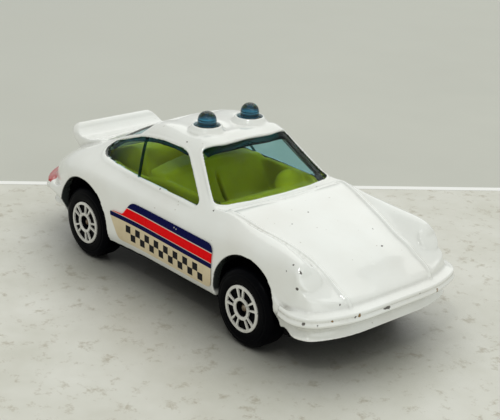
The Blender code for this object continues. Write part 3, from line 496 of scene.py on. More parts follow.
def prism(name, outline, place, low, high):
    """A flat outline of (u, v) points, extruded from low to high and put at place(u, v, w)."""
    bm = bmesh.new()
    ends = [[bm.verts.new(place(u, v, w)) for u, v in outline] for w in (low, high)]
    count = len(outline)
    bm.faces.new(ends[0])
    bm.faces.new(list(reversed(ends[1])))
    for i in range(count):
        j = (i + 1) % count
        bm.faces.new((ends[0][i], ends[1][i], ends[1][j], ends[0][j]))
    return mesh_object(name, bm)


def rounded_outline(points, radius, steps=5):
    """The closed outline with each corner replaced by a short curve."""
    made = []
    count = len(points)
    for i in range(count):
        here = Vector(points[i])
        before, after = Vector(points[i - 1]), Vector(points[(i + 1) % count])
        reach_in = min(radius, 0.48 * (before - here).length)
        reach_out = min(radius, 0.48 * (after - here).length)
        start = here + (before - here).normalized() * reach_in
        end = here + (after - here).normalized() * reach_out
        for k in range(steps + 1):
            t = k / steps
            spot = start * (1 - t) ** 2 + here * (2 * t * (1 - t)) + end * t * t
            made.append((spot.x, spot.y))
    return made


def grown(points, amount):
    """The closed outline moved outwards by an amount."""
    area = sum(a[0] * b[1] - b[0] * a[1] for a, b in zip(points, points[1:] + points[:1]))
    turn = 1.0 if area > 0 else -1.0
    made = []
    for before, here, after in zip(points[-1:] + points[:-1], points, points[1:] + points[:1]):
        along = Vector((after[0] - before[0], after[1] - before[1])).normalized()
        made.append((here[0] + along.y * turn * amount, here[1] - along.x * turn * amount))
    return made


def side_outline(growth):
    return grown(rounded_outline(SIDE_WINDOW, ROUNDING["side_window"]), growth)


def slope_outline(half, growth):
    whole = list(half) + [(-y, s) for y, s in reversed(half[1:-1])]
    return grown(rounded_outline(whole, ROUNDING["slope_window"]), growth)


def arc(cu, cv, radius, start, end, steps):
    """Points on an arc in a plane, from start to end degrees, both ends included."""
    turn = [math.radians(start + (end - start) * i / steps) for i in range(steps + 1)]
    return [(cu + radius * math.cos(t), cv + radius * math.sin(t)) for t in turn]


def joined_rings(name, bm, rings, closed):
    """A solid of quads, or triangles at a point, from one ring to the next, with ends."""
    pairs = list(zip(rings, rings[1:])) + ([(rings[-1], rings[0])] if closed else [])
    for upper, lower in pairs:
        count = max(len(upper), len(lower))
        for k in range(count):
            n = (k + 1) % count
            corners = [upper[k % len(upper)], upper[n % len(upper)]]
            corners += [lower[n % len(lower)], lower[k % len(lower)]]
            unique = list(dict.fromkeys(corners))
            if len(unique) > 2:
                bm.faces.new(unique)
    if not closed and len(rings[0]) > 1:
        bm.faces.new(rings[0])
        bm.faces.new(rings[-1])
    return mesh_object(name, bm)


def turned(name, profile, steps, closed=False, base=0.0):
    """A solid turned about Z from (radius, height over the base) points in millimetres."""
    bm = bmesh.new()
    rings = []
    for radius, height in profile:
        r, z = radius * MM, base + height * MM
        turn = [2 * math.pi * k / steps for k in range(steps if radius else 1)]
        rings.append([bm.verts.new((r * math.cos(a), r * math.sin(a), z)) for a in turn])
    return joined_rings(name, bm, rings, closed)


def smooth_path(points, spacing):
    """Evenly spaced points on a Catmull-Rom curve through the given ones."""
    points = [Vector(point) for point in points]
    fine = []
    ends = [points[0] * 2 - points[1]] + points + [points[-1] * 2 - points[-2]]
    for a, b, c, d in zip(ends, ends[1:], ends[2:], ends[3:]):
        steps = max(1, round((c - b).length / spacing))
        for k in range(steps):
            t = k / steps
            fine.append(
                0.5 * (2 * b + (c - a) * t + (2 * a - 5 * b + 4 * c - d) * t * t
                       + (3 * b - a - 3 * c + d) * t ** 3)
            )
    return fine + [points[-1]]


def bar(name, hits, lift, radius, closed=False, flat=1.0):
    """A round bar along a surface's points, lifted off it and flattened along its normals."""
    bm = bmesh.new()
    rings = []
    path = [spot + normal * lift for spot, normal in hits]
    count = len(path)
    for i, spot in enumerate(path):
        before = path[i - 1] if i or closed else spot
        after = path[(i + 1) % count] if i + 1 < count or closed else spot
        along = (after - before).normalized()
        side = along.cross(hits[i][1]).normalized()
        up = side.cross(along).normalized()
        rings.append([
            bm.verts.new(spot + side * radius * math.cos(a) + up * radius * flat * math.sin(a))
            for a in (2 * math.pi * k / BAR_SIDES for k in range(BAR_SIDES))
        ])
    return joined_rings(name, bm, rings, closed)


def rim_of(patch):
    """The patch's border, from the nose's centre along the left side and back."""
    middle = len(patch[0]) // 2
    rim = patch[0][middle:-1] + [row[-1] for row in patch[:-1]]
    rim += patch[-1][:0:-1] + [row[0] for row in patch[:0:-1]]
    return rim + patch[0][:middle]


def outward(line, i):
    """Unit normal of the plan outline at point i, pointing away from the car."""
    before = line[i - 1] if i else (line[0][0], -line[1][1])
    after = line[i + 1] if i + 1 < len(line) else (line[-1][0], -line[-2][1])
    along = Vector((after[0] - before[0], after[1] - before[1]))
    normal = Vector((-along.y, along.x)).normalized()
    return normal if normal.dot(Vector(line[i])) > 0 else -normal


def bumper_share(x):
    """0 on the doors, 1 at the bumpers."""
    return min(1.0, max(0.0, max(x - FRONT_BUMPER_END, REAR_BUMPER_END - x) / BUMPER_FADE))


def lower_loop(level):
    """Half of one loop under the shoulder, nose centre to tail centre."""
    points = []
    for i, (x, y) in enumerate(PLAN_LINE):
        share = bumper_share(x)
        rise = min(1.0, share * BUMPER_RISE)
        proud = BUMPER_SHARES[level] * BUMPER_PROUD
        offset = share * proud + (1 - share) * DOOR_SWELL[level]
        offset -= (rise - share) * ARCH_TUCK[level]
        z = rise * BUMPER_LEVELS_Z[level] + (1 - rise) * DOOR_LEVELS_Z[level]
        normal = outward(PLAN_LINE, i)
        points.append((x + normal.x * offset, max(0.0, y + normal.y * offset), z))
    return points


def body_cage(crisp_edges=True):
    """Coarse cage of the body: an upper patch of guide lines and loops hung from its rim.

    The patch's faces have material 1, or 2 along the nose, and the crisp edges are creased."""
    bm = bmesh.new()
    crease = bm.edges.layers.float.new("crease_edge")
    columns = list(reversed(UPPER_LINES[1:])) + list(UPPER_LINES)
    side = [-1] * (len(UPPER_LINES) - 1) + [1] * len(UPPER_LINES)
    patch = []
    for i in range(len(CENTRE_LINE)):
        patch.append([
            bm.verts.new((line[i][0] * MM, line[i][1] * sign * MM, line[i][2] * MM))
            for line, sign in zip(columns, side)
        ])
    for i, (lower, upper) in enumerate(zip(patch, patch[1:])):
        for j in range(len(lower) - 1):
            face = bm.faces.new((lower[j], upper[j], upper[j + 1], lower[j + 1]))
            face.material_index = UPPER_FACE if i else NOSE_FACE
    loops = [rim_of(patch)]
    for level in range(len(DOOR_LEVELS_Z)):
        left = lower_loop(level)
        right = [(x, -y, z) for x, y, z in reversed(left[1:-1])]
        loops.append([bm.verts.new(Vector(point) * MM) for point in left + right])
    for upper, lower in zip(loops, loops[1:]):
        for i in range(len(upper)):
            j = (i + 1) % len(upper)
            bm.faces.new((upper[i], upper[j], lower[j], lower[i]))
    floor = bm.faces.new(loops[-1])
    for edge in floor.edges:
        edge[crease] = 1.0
    if not crisp_edges:
        return mesh_object("cage", bm)
    for loop, amount in zip(loops[1:], BUMPER_CREASES):
        for a, b in zip(loop, loop[1:] + loop[:1]):
            share = min(bumper_share(a.co.x / MM), bumper_share(b.co.x / MM))
            bm.edges.get((a, b))[crease] = amount * share
    last = len(columns) - 1
    for col in (0, last):
        for i, amount in enumerate(FENDER_CORNER_CREASES):
            bm.edges.get((patch[i][col], patch[i + 1][col]))[crease] = amount
    for j in range(last):
        amount = LEDGE_CREASE if j in (0, 1, last - 2, last - 1) else BONNET_EDGE_CREASE
        bm.edges.get((patch[0][j], patch[0][j + 1]))[crease] = amount
    return mesh_object("cage", bm)


def fitted_skin(cage, levels, rounds=8):
    """The smooth body. The cage is first pushed out until it passes through its points."""
    smooth = cage.modifiers.new("smooth", "SUBSURF")
    smooth.levels = smooth.render_levels = 1
    targets = [v.co.copy() for v in cage.data.vertices]
    for _ in range(rounds):
        graph = bpy.context.evaluated_depsgraph_get()
        made = cage.evaluated_get(graph).to_mesh()
        limits = [made.vertices[i].co.copy() for i in range(len(targets))]
        for vertex, target, limit in zip(cage.data.vertices, targets, limits):
            vertex.co += target - limit
        cage.update_tag()
        bpy.context.view_layer.update()
    cage.modifiers.clear()
    return modify(cage, "SUBSURF", levels=levels, render_levels=levels)


def inset_patch(skin, depth, keep):
    """The upper patch's faces that pass keep, moved in along their normals, as a bmesh."""
    bm = bmesh.new()
    bm.from_mesh(skin.data)
    bm.normal_update()
    shift = [v.normal * -depth for v in bm.verts]
    for vertex, step in zip(bm.verts, shift):
        vertex.co += step
    drop = [
        f for f in bm.faces
        if f.material_index != UPPER_FACE or not keep(f.calc_center_median())
    ]
    bmesh.ops.delete(bm, geom=drop, context="FACES")
    for face in bm.faces:
        face.material_index = 0
    return bm


def cavity():
    """The space inside the casting, with walls hung straight down from the shoulder."""
    skin = fitted_skin(body_cage(False), 2)
    bm = inset_patch(skin, WALL, lambda centre: True)
    remove(skin)
    for drop, tuck in ((HANG_DROP, HANG_TUCK), (None, 0.0)):
        bm.normal_update()
        border = [edge for edge in bm.edges if edge.is_boundary]
        made = bmesh.ops.extrude_edge_only(bm, edges=border)
        hung = [part for part in made["geom"] if isinstance(part, bmesh.types.BMVert)]
        for vertex in hung:
            inward = Vector((-vertex.co.x * 0.35, -vertex.co.y, 0)).normalized()
            vertex.co += inward * tuck
            vertex.co.z = CAVITY_LOW_Z if drop is None else vertex.co.z - drop
    bmesh.ops.edgeloop_fill(bm, edges=[edge for edge in bm.edges if edge.is_boundary])
    return mesh_object("cavity", bm)


def tree_of(thing):
    return BVHTree.FromPolygons(
        [v.co for v in thing.data.vertices], [p.vertices for p in thing.data.polygons]
    )


def side_hit(tree, side, x, z):
    """The point and normal of the surface at one side of the car."""
    return tree.ray_cast(Vector((x * MM, side * REACH, z * MM)), Vector((0, -side, 0)))[:2]


def slope_hits(tree, foot, head, points):
    """Points and normals of the surface over (y, distance up the slope) points."""
    place = slope_place(foot, head)
    off = place(0, 0, 1) - place(0, 0, 0)
    return [tree.ray_cast(place(y, s, SLOPE_RAY), -off)[:2] for y, s in points]


def seam(tree, half):
    """A rounded rib on the upper surface, along half a line and its mirror image."""
    points = [(x, -y) for x, y in half] + [(x, y) for x, y in reversed(half[:-1])]
    hits = [
        tree.ray_cast(Vector((x * MM, y * MM, REACH)), Vector((0, 0, -1)))[:2]
        for x, y in smooth_path(points, SEAM_STEP)
    ]
    return bar("seam", hits, SEAM_PROUD - SEAM_RADIUS, SEAM_RADIUS)


def window_beads(tree):
    """Rounded lips round the four window openings, where the paint has gathered."""
    growth = WINDOW_GROWTH + BEAD_OFFSET
    lines = [[side_hit(tree, side, x, z) for x, z in side_outline(growth)] for side in SIDES]
    for half, foot, head in WINDOWS_IN_SLOPES:
        lines.append(slope_hits(tree, foot, head, slope_outline(half, growth)))
    return [bar("bead", hits, BEAD_PROUD - BEAD_RADIUS, BEAD_RADIUS, True) for hits in lines]


def wing():
    """The tray-shaped tail wing, with rounded upper corners."""
    section = rounded_outline(WING_SECTION, ROUNDING["wing"], 3)
    wide, r = WING_HALF_WIDTH, WING_CORNER_RADIUS
    made = prism("wing", section, side_place, -2 * wide * MM, 2 * wide * MM)
    top = max(z for x, z in WING_SECTION)
    outline = arc(wide - r, top - r, r, 0, 90, 8) + arc(-wide + r, top - r, r, 90, 180, 8)
    foot = wide - WING_TAPER
    outline += [(-foot, WING_FOOT_Z), (foot, WING_FOOT_Z)]
    return combine(made, prism("wing_ends", outline, front_place, -REACH, 0.0), "INTERSECT")


def headlamp(tree, side):
    """A shallow round lamp for the front of the wing, and the recess that it sits in."""
    rake = math.radians(LAMP_RAKE_DEGREES)
    facing = Vector((math.cos(rake), side * 0.08, math.sin(rake))).normalized()
    x, y, z = LAMP_CENTRE
    centre = Vector((x, side * y, z)) * MM
    spot = tree.ray_cast(centre + facing * 8 * MM, -facing)[0]
    turn = Vector((0, 0, 1)).rotation_difference(facing).to_matrix().to_4x4()
    made = []
    for profile in (LAMP_PROFILE, LAMP_RECESS):
        lamp = turned("lamp", profile, LAMP_STEPS, profile[0][0] > 0)
        lamp.data.transform(Matrix.Translation(spot) @ turn)
        made.append(lamp)
    return made


def bumper_ridge(tree, height, sign):
    """A rounded ridge round the front (1) or rear (-1) bumper at one height."""
    half = [(x, y) for x, y in PLAN_LINE if x * sign > RIDGE_START_X][::sign]
    points = [(x, -y) for x, y in reversed(half)] + half[1:]
    centre = Vector((sign * RIDGE_CENTRE_X * MM, 0, height * MM))
    hits = []
    for x, y in smooth_path(points, RIDGE_STEP):
        aim = Vector((x * MM, y * MM, height * MM)) - centre
        hit = tree.ray_cast(centre + aim * 3, -aim.normalized())
        if hit[0] is not None:
            hits.append(hit[:2])
    return bar("ridge", hits, -RIDGE_SUNK * MM, RIDGE_RADIUS * MM)


def build_shell(skin):
    """The enamelled casting, with every edge softened as thick paint softens it."""
    tree = tree_of(skin)
    shell = combine(copy_of(skin, "painted_shell"), cavity())
    for axle_x in (FRONT_AXLE_X, REAR_AXLE_X):
        x = axle_x / MM + ARCH_OFFSET_X
        outline = arc(x, ARCH_TOP_Z - ARCH_RADIUS, ARCH_RADIUS, 0, 180, 40)
        outline += [(x - ARCH_RADIUS, ARCH_LOW_Z), (x + ARCH_RADIUS, ARCH_LOW_Z)]
        for side in SIDES:
            combine(shell, prism("arch", outline, side_place, side * ARCH_INNER_Y, side * REACH))
    r = PLINTH_PROFILE[0][0]
    for side in SIDES:
        outline = side_outline(WINDOW_GROWTH)
        combine(shell, prism("window", outline, side_place, side * WINDOW_INNER_Y, side * REACH))
        hole = turned("hole", ((0, 1), (r, 1), (r, -5), (0, -5)), ROUND_STEPS)
        combine(shell, move(hole, BEACON_X, side * BEACON_Y, PLINTH_TOP_Z))
    for half, foot, head in WINDOWS_IN_SLOPES:
        across = slope_outline(half, WINDOW_GROWTH)
        place = slope_place(foot, head)
        combine(shell, prism("slope_window", across, place, -SLOPE_CUT, SLOPE_CUT))
    lamps = []
    for side in SIDES:
        lamp, recess = headlamp(tree, side)
        combine(shell, recess)
        lamps.append(lamp)
    parts = [shell, wing()] + lamps
    for side in SIDES:
        ring = turned("plinth", PLINTH_PROFILE, ROUND_STEPS, True, PLINTH_TOP_Z)
        parts.append(move(ring, BEACON_X, side * BEACON_Y, 0))
    parts += [move(turned("post", POST_PROFILE, POST_STEPS), x * MM, 0, 0) for x in POST_X]
    parts += window_beads(tree)
    parts += [seam(tree, BONNET_SEAM), seam(tree, ENGINE_LID_SEAM)]
    parts += [bumper_ridge(tree, height, sign) for height in RIDGE_LEVELS_Z for sign in (1, -1)]
    return melt(join(parts), PAINT_VOXEL, 1)


def in_cabin(centre):
    """True for the part of the body's skin that the glass follows."""
    x, y, z = (c / MM for c in centre)
    front = GLASS_FRONT_X - 3.0 * max(0.0, abs(y) - 9.5)
    return GLASS_REAR_X < x < front and z > GLASS_BOTTOM_Z


def glass_sheet(skin):
    """The tinted moulding behind the windows: one sheet that follows the cabin's shape."""
    sheet = mesh_object("glazing_sheet", inset_patch(skin, GLASS_DEPTH, in_cabin))
    modify(sheet, "SOLIDIFY", thickness=GLASS_THICKNESS, offset=-1.0)
    sheet.data.shade_smooth()
    return sheet


def beacon(side):
    """A ribbed blue lens that stands up through the roof."""
    name = f"beacon_lens_{HAND[side]}"
    lens = turned(name, BEACON_PROFILE, ROUND_STEPS, base=BEACON_TOP_Z)
    lens.data.shade_smooth()
    return move(lens, BEACON_X, side * BEACON_Y, 0)


def window_divider(tree, side):
    """The thin upright rib moulded on the side glass."""
    x, z, lean, height = DIVIDER
    steps = [k / 12 for k in range(13)]
    hits = [side_hit(tree, side, x - lean * t, z + height * t) for t in steps]
    return bar(f"divider_{HAND[side]}", hits, DIVIDER_PROUD - GLASS_DEPTH, DIVIDER_RADIUS)


def rib(place, hits):
    """A broad rib on the inside of the glass, under the surface points that it is given."""
    made = bar(f"glass_edge_{place}", hits, -RIB_DEPTH, RIB_RADIUS, flat=0.4)
    made.data.shade_smooth()
    return made


def glass_ribs(tree):
    """The thick upper edges of the glass in the windscreen and the side windows, made dark as
    painted shade under the roof.
    """
    height, half, step = SCREEN_RIB
    across = [(-half + step * k, height) for k in range(round(2 * half / step) + 1)]
    ribs = [rib("front", slope_hits(tree, WINDSCREEN_FOOT, WINDSCREEN_HEAD, across))]
    fine = smooth_path(SIDE_RIB, RIB_STEP)
    return ribs + [rib(HAND[side], [side_hit(tree, side, x, z) for x, z in fine]) for side in SIDES]


def stand_on_axle(thing, axle_x, side):
    """Turns a part modelled about Z, face up, so that it faces out on its axle's end."""
    turn = Matrix.Rotation(math.radians(-90 * side), 4, "X")
    place = Matrix.Translation((axle_x, side * WHEEL_OUTER_Y, WHEEL_RADIUS))
    thing.data.transform(place @ turn)
    return crisp(thing)


def build_tyre(name, axle_x, side):
    """The black wheel: rounded tread, a step at the sidewall and the seat of the disc."""
    profile = rounded_outline(WHEEL_PROFILE, ROUNDING["wheel"], 3)
    return stand_on_axle(turned(name, profile, WHEEL_STEPS, True), axle_x, side)


def build_disc(name, axle_x, side, turn_degrees):
    """The pale hub face with five wide and five narrow windows."""
    profile = rounded_outline(DISC_PROFILE, ROUNDING["disc"], 2)
    disc = turned(name, profile, WHEEL_STEPS, True)
    for i in range(5):
        for width, at in DISC_WINDOWS:
            mid = i * 72.0 + at + turn_degrees
            a, b = mid - width / 2, mid + width / 2
            outline = arc(0, 0, DISC_WINDOW_INNER, b, a, 4) + arc(0, 0, DISC_WINDOW_OUTER, a, b, 6)
            outline = rounded_outline(outline, ROUNDING["disc_window"], 4)
            combine(disc, prism("disc_window", outline, top_place, -2 * MM, 2 * MM))
    return stand_on_axle(disc, axle_x, side)


def build_axle(name, axle_x):
    """The steel wire with a domed head at each end."""
    head = (WHEEL_OUTER_Y - HUB_RECESS_DEPTH) / MM + AXLE_END_PROUD
    half = [(r, head + h) for r, h in AXLE_END]
    axle = turned(name, half + [(r, -h) for r, h in reversed(half)], POST_STEPS)
    axle.data.transform(
        Matrix.Translation((axle_x, 0, WHEEL_RADIUS)) @ Matrix.Rotation(math.radians(90), 4, "X")
    )
    return crisp(axle)


def build_label(skin, side):
    """The stepped sticker, a thin film that follows the door."""
    outline = rounded_outline(LABEL_OUTLINE, ROUNDING["label"], 4)
    name = f"door_sticker_{HAND[side]}"
    label = prism(name, outline, side_place, side * LABEL_NEAR, side * LABEL_FAR)
    for out, operation in ((LABEL_OUTER, "INTERSECT"), (LABEL_INNER, "DIFFERENCE")):
        combine(label, move(copy_of(skin, "label_shell"), 0, side * out, 0), operation)
    return crisp(label)


def build_interior():
    """One yellow moulding with soft edges: floor, door cards, dashboard, seats and bench."""
    parts = []
    for section, low, high, softness in TUB_PIECES:
        outline = rounded_outline(section, softness, 4)
        parts.append(prism("interior_moulding", outline, side_place, low * MM, high * MM))
    steps = [BACK_HALF_WIDTH * (k / 12 - 1) for k in range(25)]
    outline = [(y, BACK_TOP_Z - BACK_FALL * y * y) for y in steps]
    outline += [(BACK_HALF_WIDTH, BACK_LOW_Z), (-BACK_HALF_WIDTH, BACK_LOW_Z)]
    parts.append(prism("seat_back", outline, front_place, BACK_REAR_X * MM, BACK_FRONT_X * MM))
    bm = bmesh.new()
    spread = Matrix.Diagonal((*COWL_SIZE, 1.0 / MM)) * MM
    bmesh.ops.create_uvsphere(bm, u_segments=28, v_segments=16, radius=1.0, matrix=spread)
    parts.append(move(mesh_object("cowl", bm), *(Vector(COWL_CENTRE) * MM)))
    return melt(join(parts), TUB_VOXEL, 8)


class Paint:
    """A new material, with short ways to add nodes to it and to link them."""

    def __init__(self, name, colour, roughness):
        self.made = bpy.data.materials.new(name)
        self.made.use_nodes = True
        self.tree = self.made.node_tree
        self.bsdf = self.tree.nodes["Principled BSDF"]
        self.set("Base Color", colour)
        self.set("Roughness", roughness)
        self.coords = self.node("TexCoord").outputs["Object"]

    def set(self, name, value):
        self.put(self.bsdf.inputs[name], value)

    def put(self, socket, value):
        """Links a socket to another one, or gives it a value if there is one."""
        if isinstance(value, bpy.types.NodeSocket):
            self.tree.links.new(value, socket)
        elif socket.type == "RGBA":
            socket.default_value = (*value, 1.0)
        elif value is not None:
            socket.default_value = value

    def node(self, kind, inputs=None, **settings):
        made = self.tree.nodes.new("ShaderNode" + kind)
        for key, value in settings.items():
            setattr(made, key, value)
        for key, value in (inputs or {}).items():
            self.put(made.inputs[key], value)
        return made

    def noise(self, per_mm, detail=2.0, roughness=0.5, distortion=0.0, output="Fac"):
        return self.node("TexNoise", {
            "Scale": per_mm / MM, "Detail": detail, "Roughness": roughness,
            "Distortion": distortion, "Vector": self.coords,
        }).outputs[output]

    def ramp(self, value, low, high, out_low=0.0, out_high=1.0):
        return self.node("MapRange", {
            "From Min": low, "From Max": high, "To Min": out_low, "To Max": out_high,
            "Value": value,
        }).outputs["Result"]

    def maths(self, operation, a, b=None):
        return self.node("Math", {0: a, 1: b}, operation=operation).outputs[0]

    def times(self, *factors):
        made = factors[0]
        for factor in factors[1:]:
            made = self.maths("MULTIPLY", made, factor)
        return made

    def vector(self, operation, a, b=None, output="Vector", scale=None):
        inputs = {0: a, 1: b} if scale is None else {0: a, "Scale": scale}
        return self.node("VectorMath", inputs, operation=operation).outputs[output]

    def blend(self, factor, a, b):
        """A colour between a and b, each a colour or a socket."""
        return self.node("Mix", {0: factor, 6: a, 7: b}, data_type="RGBA").outputs[2]

    def bump(self, height, distance, strength):
        inputs = {"Strength": strength, "Distance": distance, "Height": height}
        self.set("Normal", self.node("Bump", inputs).outputs["Normal"])

    def axes(self):
        return self.node("SeparateXYZ", {0: self.coords}).outputs[0:3]

    def within(self, value, low, high, soft):
        """1 where value is between low and high, with soft edges."""
        up = self.ramp(value, low - soft, low + soft)
        return self.times(up, self.ramp(value, high - soft, high + soft, 1.0, 0.0))

    def crevice(self, reach, low, high, alone=True):
        """1 where the surface is tucked in, 0 in the open."""
        found = self.node("AmbientOcclusion", {"Distance": reach}, samples=8, only_local=alone)
        return self.ramp(found.outputs["AO"], low, high, 1.0, 0.0)

    def chips(self, places, jitter):
        """1 inside the listed paint chips, whose edges are ragged."""
        wobble = self.vector("SUBTRACT", self.noise(3.5, 3.0, output="Color"), (0.5, 0.5, 0.5))
        moved = self.vector("ADD", self.coords, self.vector("SCALE", wobble, scale=jitter))
        nearest = None
        for x, y, z, half_y, half_xz in places:
            away = self.vector("SUBTRACT", moved, (x * MM, y * MM, z * MM))
            wide, deep = 1 / (half_xz * MM), 1 / (half_y * MM)
            sized = self.vector("MULTIPLY", away, (wide, deep, wide))
            far = self.vector("LENGTH", sized, output="Value")
            nearest = far if nearest is None else self.maths("MINIMUM", nearest, far)
        return self.ramp(nearest, 0.9, 1.1, 1.0, 0.0)


def inside_shade_mask(paint, x, y, z):
    """1 where near-black painted shade goes, on the casting's inner side and in its wheel arches, 0
    on the painted outside.
    """
    facing = paint.node("NewGeometry").outputs["True Normal"]
    away = paint.vector("SUBTRACT", paint.coords, tuple(c * MM for c in CABIN_MIDDLE))
    outward_by = paint.vector("DOT_PRODUCT", away, facing, "Value")
    mask = paint.ramp(outward_by, -0.8 * MM, -0.2 * MM, 1.0, 0.0)
    for along, low, wide, first, then in INSIDE_ENDS:
        start = low * MM
        edge = paint.ramp((x, y, z)[along], start, start + wide * MM, first, then)
        mask = paint.times(mask, edge)
    up = paint.maths("POWER", paint.maths("ADD", z, (ARCH_RADIUS - ARCH_TOP_Z) * MM), 2.0)
    for axle_x in (FRONT_AXLE_X, REAR_AXLE_X):
        along = paint.maths("ABSOLUTE", paint.maths("ADD", x, -axle_x - ARCH_OFFSET_X * MM))
        far = paint.maths("SQRT", paint.maths("ADD", paint.maths("POWER", along, 2.0), up))
        near = paint.ramp(far, (ARCH_RADIUS + 0.02) * MM, (ARCH_RADIUS + 0.12) * MM, 1.0, 0.0)
        mask = paint.maths("MAXIMUM", mask, near)
    return mask


def enamel():
    """Glossy white enamel: faint yellowing, grime and painted shade in the seams, near-black
    painted shade inside, chips and rub marks.
    """
    paint = Paint("worn_white_enamel", (0.85, 0.845, 0.81), 0.12)
    x, y, z = paint.axes()
    cloud = paint.ramp(paint.noise(0.1, 3.0, 0.6), 0.35, 0.7)
    tone = paint.blend(cloud, (0.845, 0.86, 0.825), (0.80, 0.80, 0.755))
    patchy = paint.ramp(paint.noise(0.9, 4.0, 0.6), 0.3, 0.7, 0.35, 1.0)
    # Grime and painted shade: brown-grey and rougher where the surface is tucked in, in patches.
    grime_and_shade = paint.times(paint.crevice(0.7 * MM, 0.6, 0.96), patchy, 0.75)
    tone = paint.blend(grime_and_shade, tone, (0.24, 0.22, 0.17))
    specks = paint.ramp(paint.noise(1.7, 1.0, 0.4), 0.79, 0.8)
    tone = paint.blend(paint.times(specks, 0.5), tone, (0.35, 0.31, 0.24))
    behind = paint.ramp(x, -28.4 * MM, -28.2 * MM, 1.0, 0.0)
    high = paint.within(z, LAMP_BAND_LOW_Z * MM, LAMP_BAND_HIGH_Z * MM, 0.05 * MM)
    out = paint.ramp(paint.maths("ABSOLUTE", y), 6.55 * MM, 6.65 * MM)
    tone = paint.blend(paint.times(behind, high, out), tone, (0.42, 0.015, 0.01))
    # Painted shade: near-black on the casting's inside and in its wheel arches.
    tone = paint.blend(inside_shade_mask(paint, x, y, z), tone, (0.035, 0.042, 0.038))
    chips = paint.chips(PAINT_CHIPS, 0.35 * MM)
    metal = paint.blend(paint.noise(2.0, 2.0), (0.05, 0.045, 0.04), (0.16, 0.14, 0.12))
    tone = paint.blend(chips, tone, metal)
    tone = paint.blend(paint.chips(RUST_SPOTS, 0.3 * MM), tone, (0.22, 0.12, 0.03))
    paint.set("Base Color", tone)
    smear = paint.ramp(paint.noise(0.35, 4.0, 0.65, 0.6), 0.35, 0.75, 0.1, 0.24)
    rough = paint.maths("MAXIMUM", smear, paint.times(chips, 0.55))
    paint.set("Roughness", paint.maths("MAXIMUM", rough, paint.times(grime_and_shade, 0.9)))
    sunk = paint.maths("SUBTRACT", paint.noise(0.55, 2.0, 0.5), paint.times(chips, 1.5))
    paint.bump(sunk, 0.03 * MM, 0.8)
    paint.set("Coat Weight", 0.6)
    paint.set("Coat Roughness", 0.05)
    return paint.made


def glass(name, colour, ior=1.15, rough=0.02, waviness=0.04):
    """Tinted clear plastic. Lamps reach what is behind it through a tinted Transparent."""
    paint = Paint(name, colour, 0.04)
    paint.set("Transmission Weight", 1.0)
    paint.set("IOR", ior)
    paint.set("Specular IOR Level", 0.03)
    scuffs = paint.noise(0.6, 5.0, 0.7, 1.0)
    paint.set("Roughness", paint.ramp(scuffs, 0.55, 0.8, rough, rough + 0.12))
    paint.bump(paint.noise(0.25, 2.0), waviness * MM, 0.6)
    clear = paint.node("BsdfTransparent", {"Color": GLASS_SHADOW})
    shadow = paint.node("LightPath").outputs["Is Shadow Ray"]
    mix = paint.node("MixShader", {0: shadow, 1: paint.bsdf.outputs[0], 2: clear.outputs[0]})
    output = next(n for n in paint.tree.nodes if n.type == "OUTPUT_MATERIAL")
    paint.put(output.inputs["Surface"], mix.outputs[0])
    return paint.made


def plastic(name, colour, shade, roughness, grain_per_mm, grain_depth, dust=None, gloss=0.5):
    """Moulded plastic: colour that drifts, a fine grain and dust that gathers in corners."""
    paint = Paint(name, colour, roughness)
    paint.set("Specular IOR Level", gloss)
    tone = paint.blend(paint.ramp(paint.noise(0.3, 3.0, 0.6), 0.3, 0.7), colour, shade)
    if dust:
        patchy = paint.ramp(paint.noise(1.5, 4.0, 0.7), 0.4, 0.7)
        held = paint.times(paint.crevice(0.6 * MM, 0.3, 0.9), patchy, 0.5)
        tone = paint.blend(held, tone, dust)
    paint.set("Base Color", tone)
    worn = paint.noise(0.8, 4.0, 0.7)
    paint.set("Roughness", paint.ramp(worn, 0.3, 0.7, roughness - 0.08, roughness + 0.12))
    paint.bump(paint.noise(grain_per_mm, 3.0, 0.6), grain_depth, 0.7)
    return paint.made


def wheel_plastic():
    """Black wheel plastic, scuffed a little lighter in patches."""
    paint = Paint("scuffed_black_wheel", (0.005, 0.006, 0.007), 0.4)
    paint.set("Specular IOR Level", 0.03)
    scuff = paint.ramp(paint.noise(0.9, 5.0, 0.7), 0.55, 0.8)
    paint.set("Base Color", paint.blend(scuff, (0.001, 0.0012, 0.002), (0.004, 0.004, 0.005)))
    paint.set("Roughness", paint.ramp(scuff, 0.0, 1.0, 0.34, 0.6))
    paint.bump(paint.noise(2.2, 4.0, 0.6), 0.02 * MM, 0.6)
    return paint.made


def hub_print():
    """Off-white hub face, with tiny nicks and greyer patches."""
    paint = Paint("hub_face_white", (0.7, 0.69, 0.64), 0.3)
    nicks = paint.ramp(paint.noise(3.2, 2.0, 0.5), 0.66, 0.7)
    cloud = paint.ramp(paint.noise(0.6, 3.0), 0.35, 0.7)
    tone = paint.blend(cloud, (0.72, 0.71, 0.66), (0.58, 0.57, 0.53))
    paint.set("Base Color", paint.blend(paint.times(nicks, 0.8), tone, (0.12, 0.10, 0.08)))
    paint.set("Roughness", paint.ramp(cloud, 0.0, 1.0, 0.22, 0.42))
    paint.bump(nicks, -0.03 * MM, 0.6)
    return paint.made


def wire():
    """Steel wire, tarnished brown."""
    paint = Paint("tarnished_steel", (0.3, 0.25, 0.19), 0.4)
    paint.set("Metallic", 1.0)
    spots = paint.noise(2.5, 4.0, 0.7)
    patches = paint.ramp(spots, 0.35, 0.65)
    paint.set("Base Color", paint.blend(patches, (0.36, 0.31, 0.25), (0.16, 0.10, 0.06)))
    paint.set("Roughness", paint.ramp(spots, 0.3, 0.7, 0.3, 0.6))
    paint.bump(spots, 0.02 * MM, 0.6)
    return paint.made


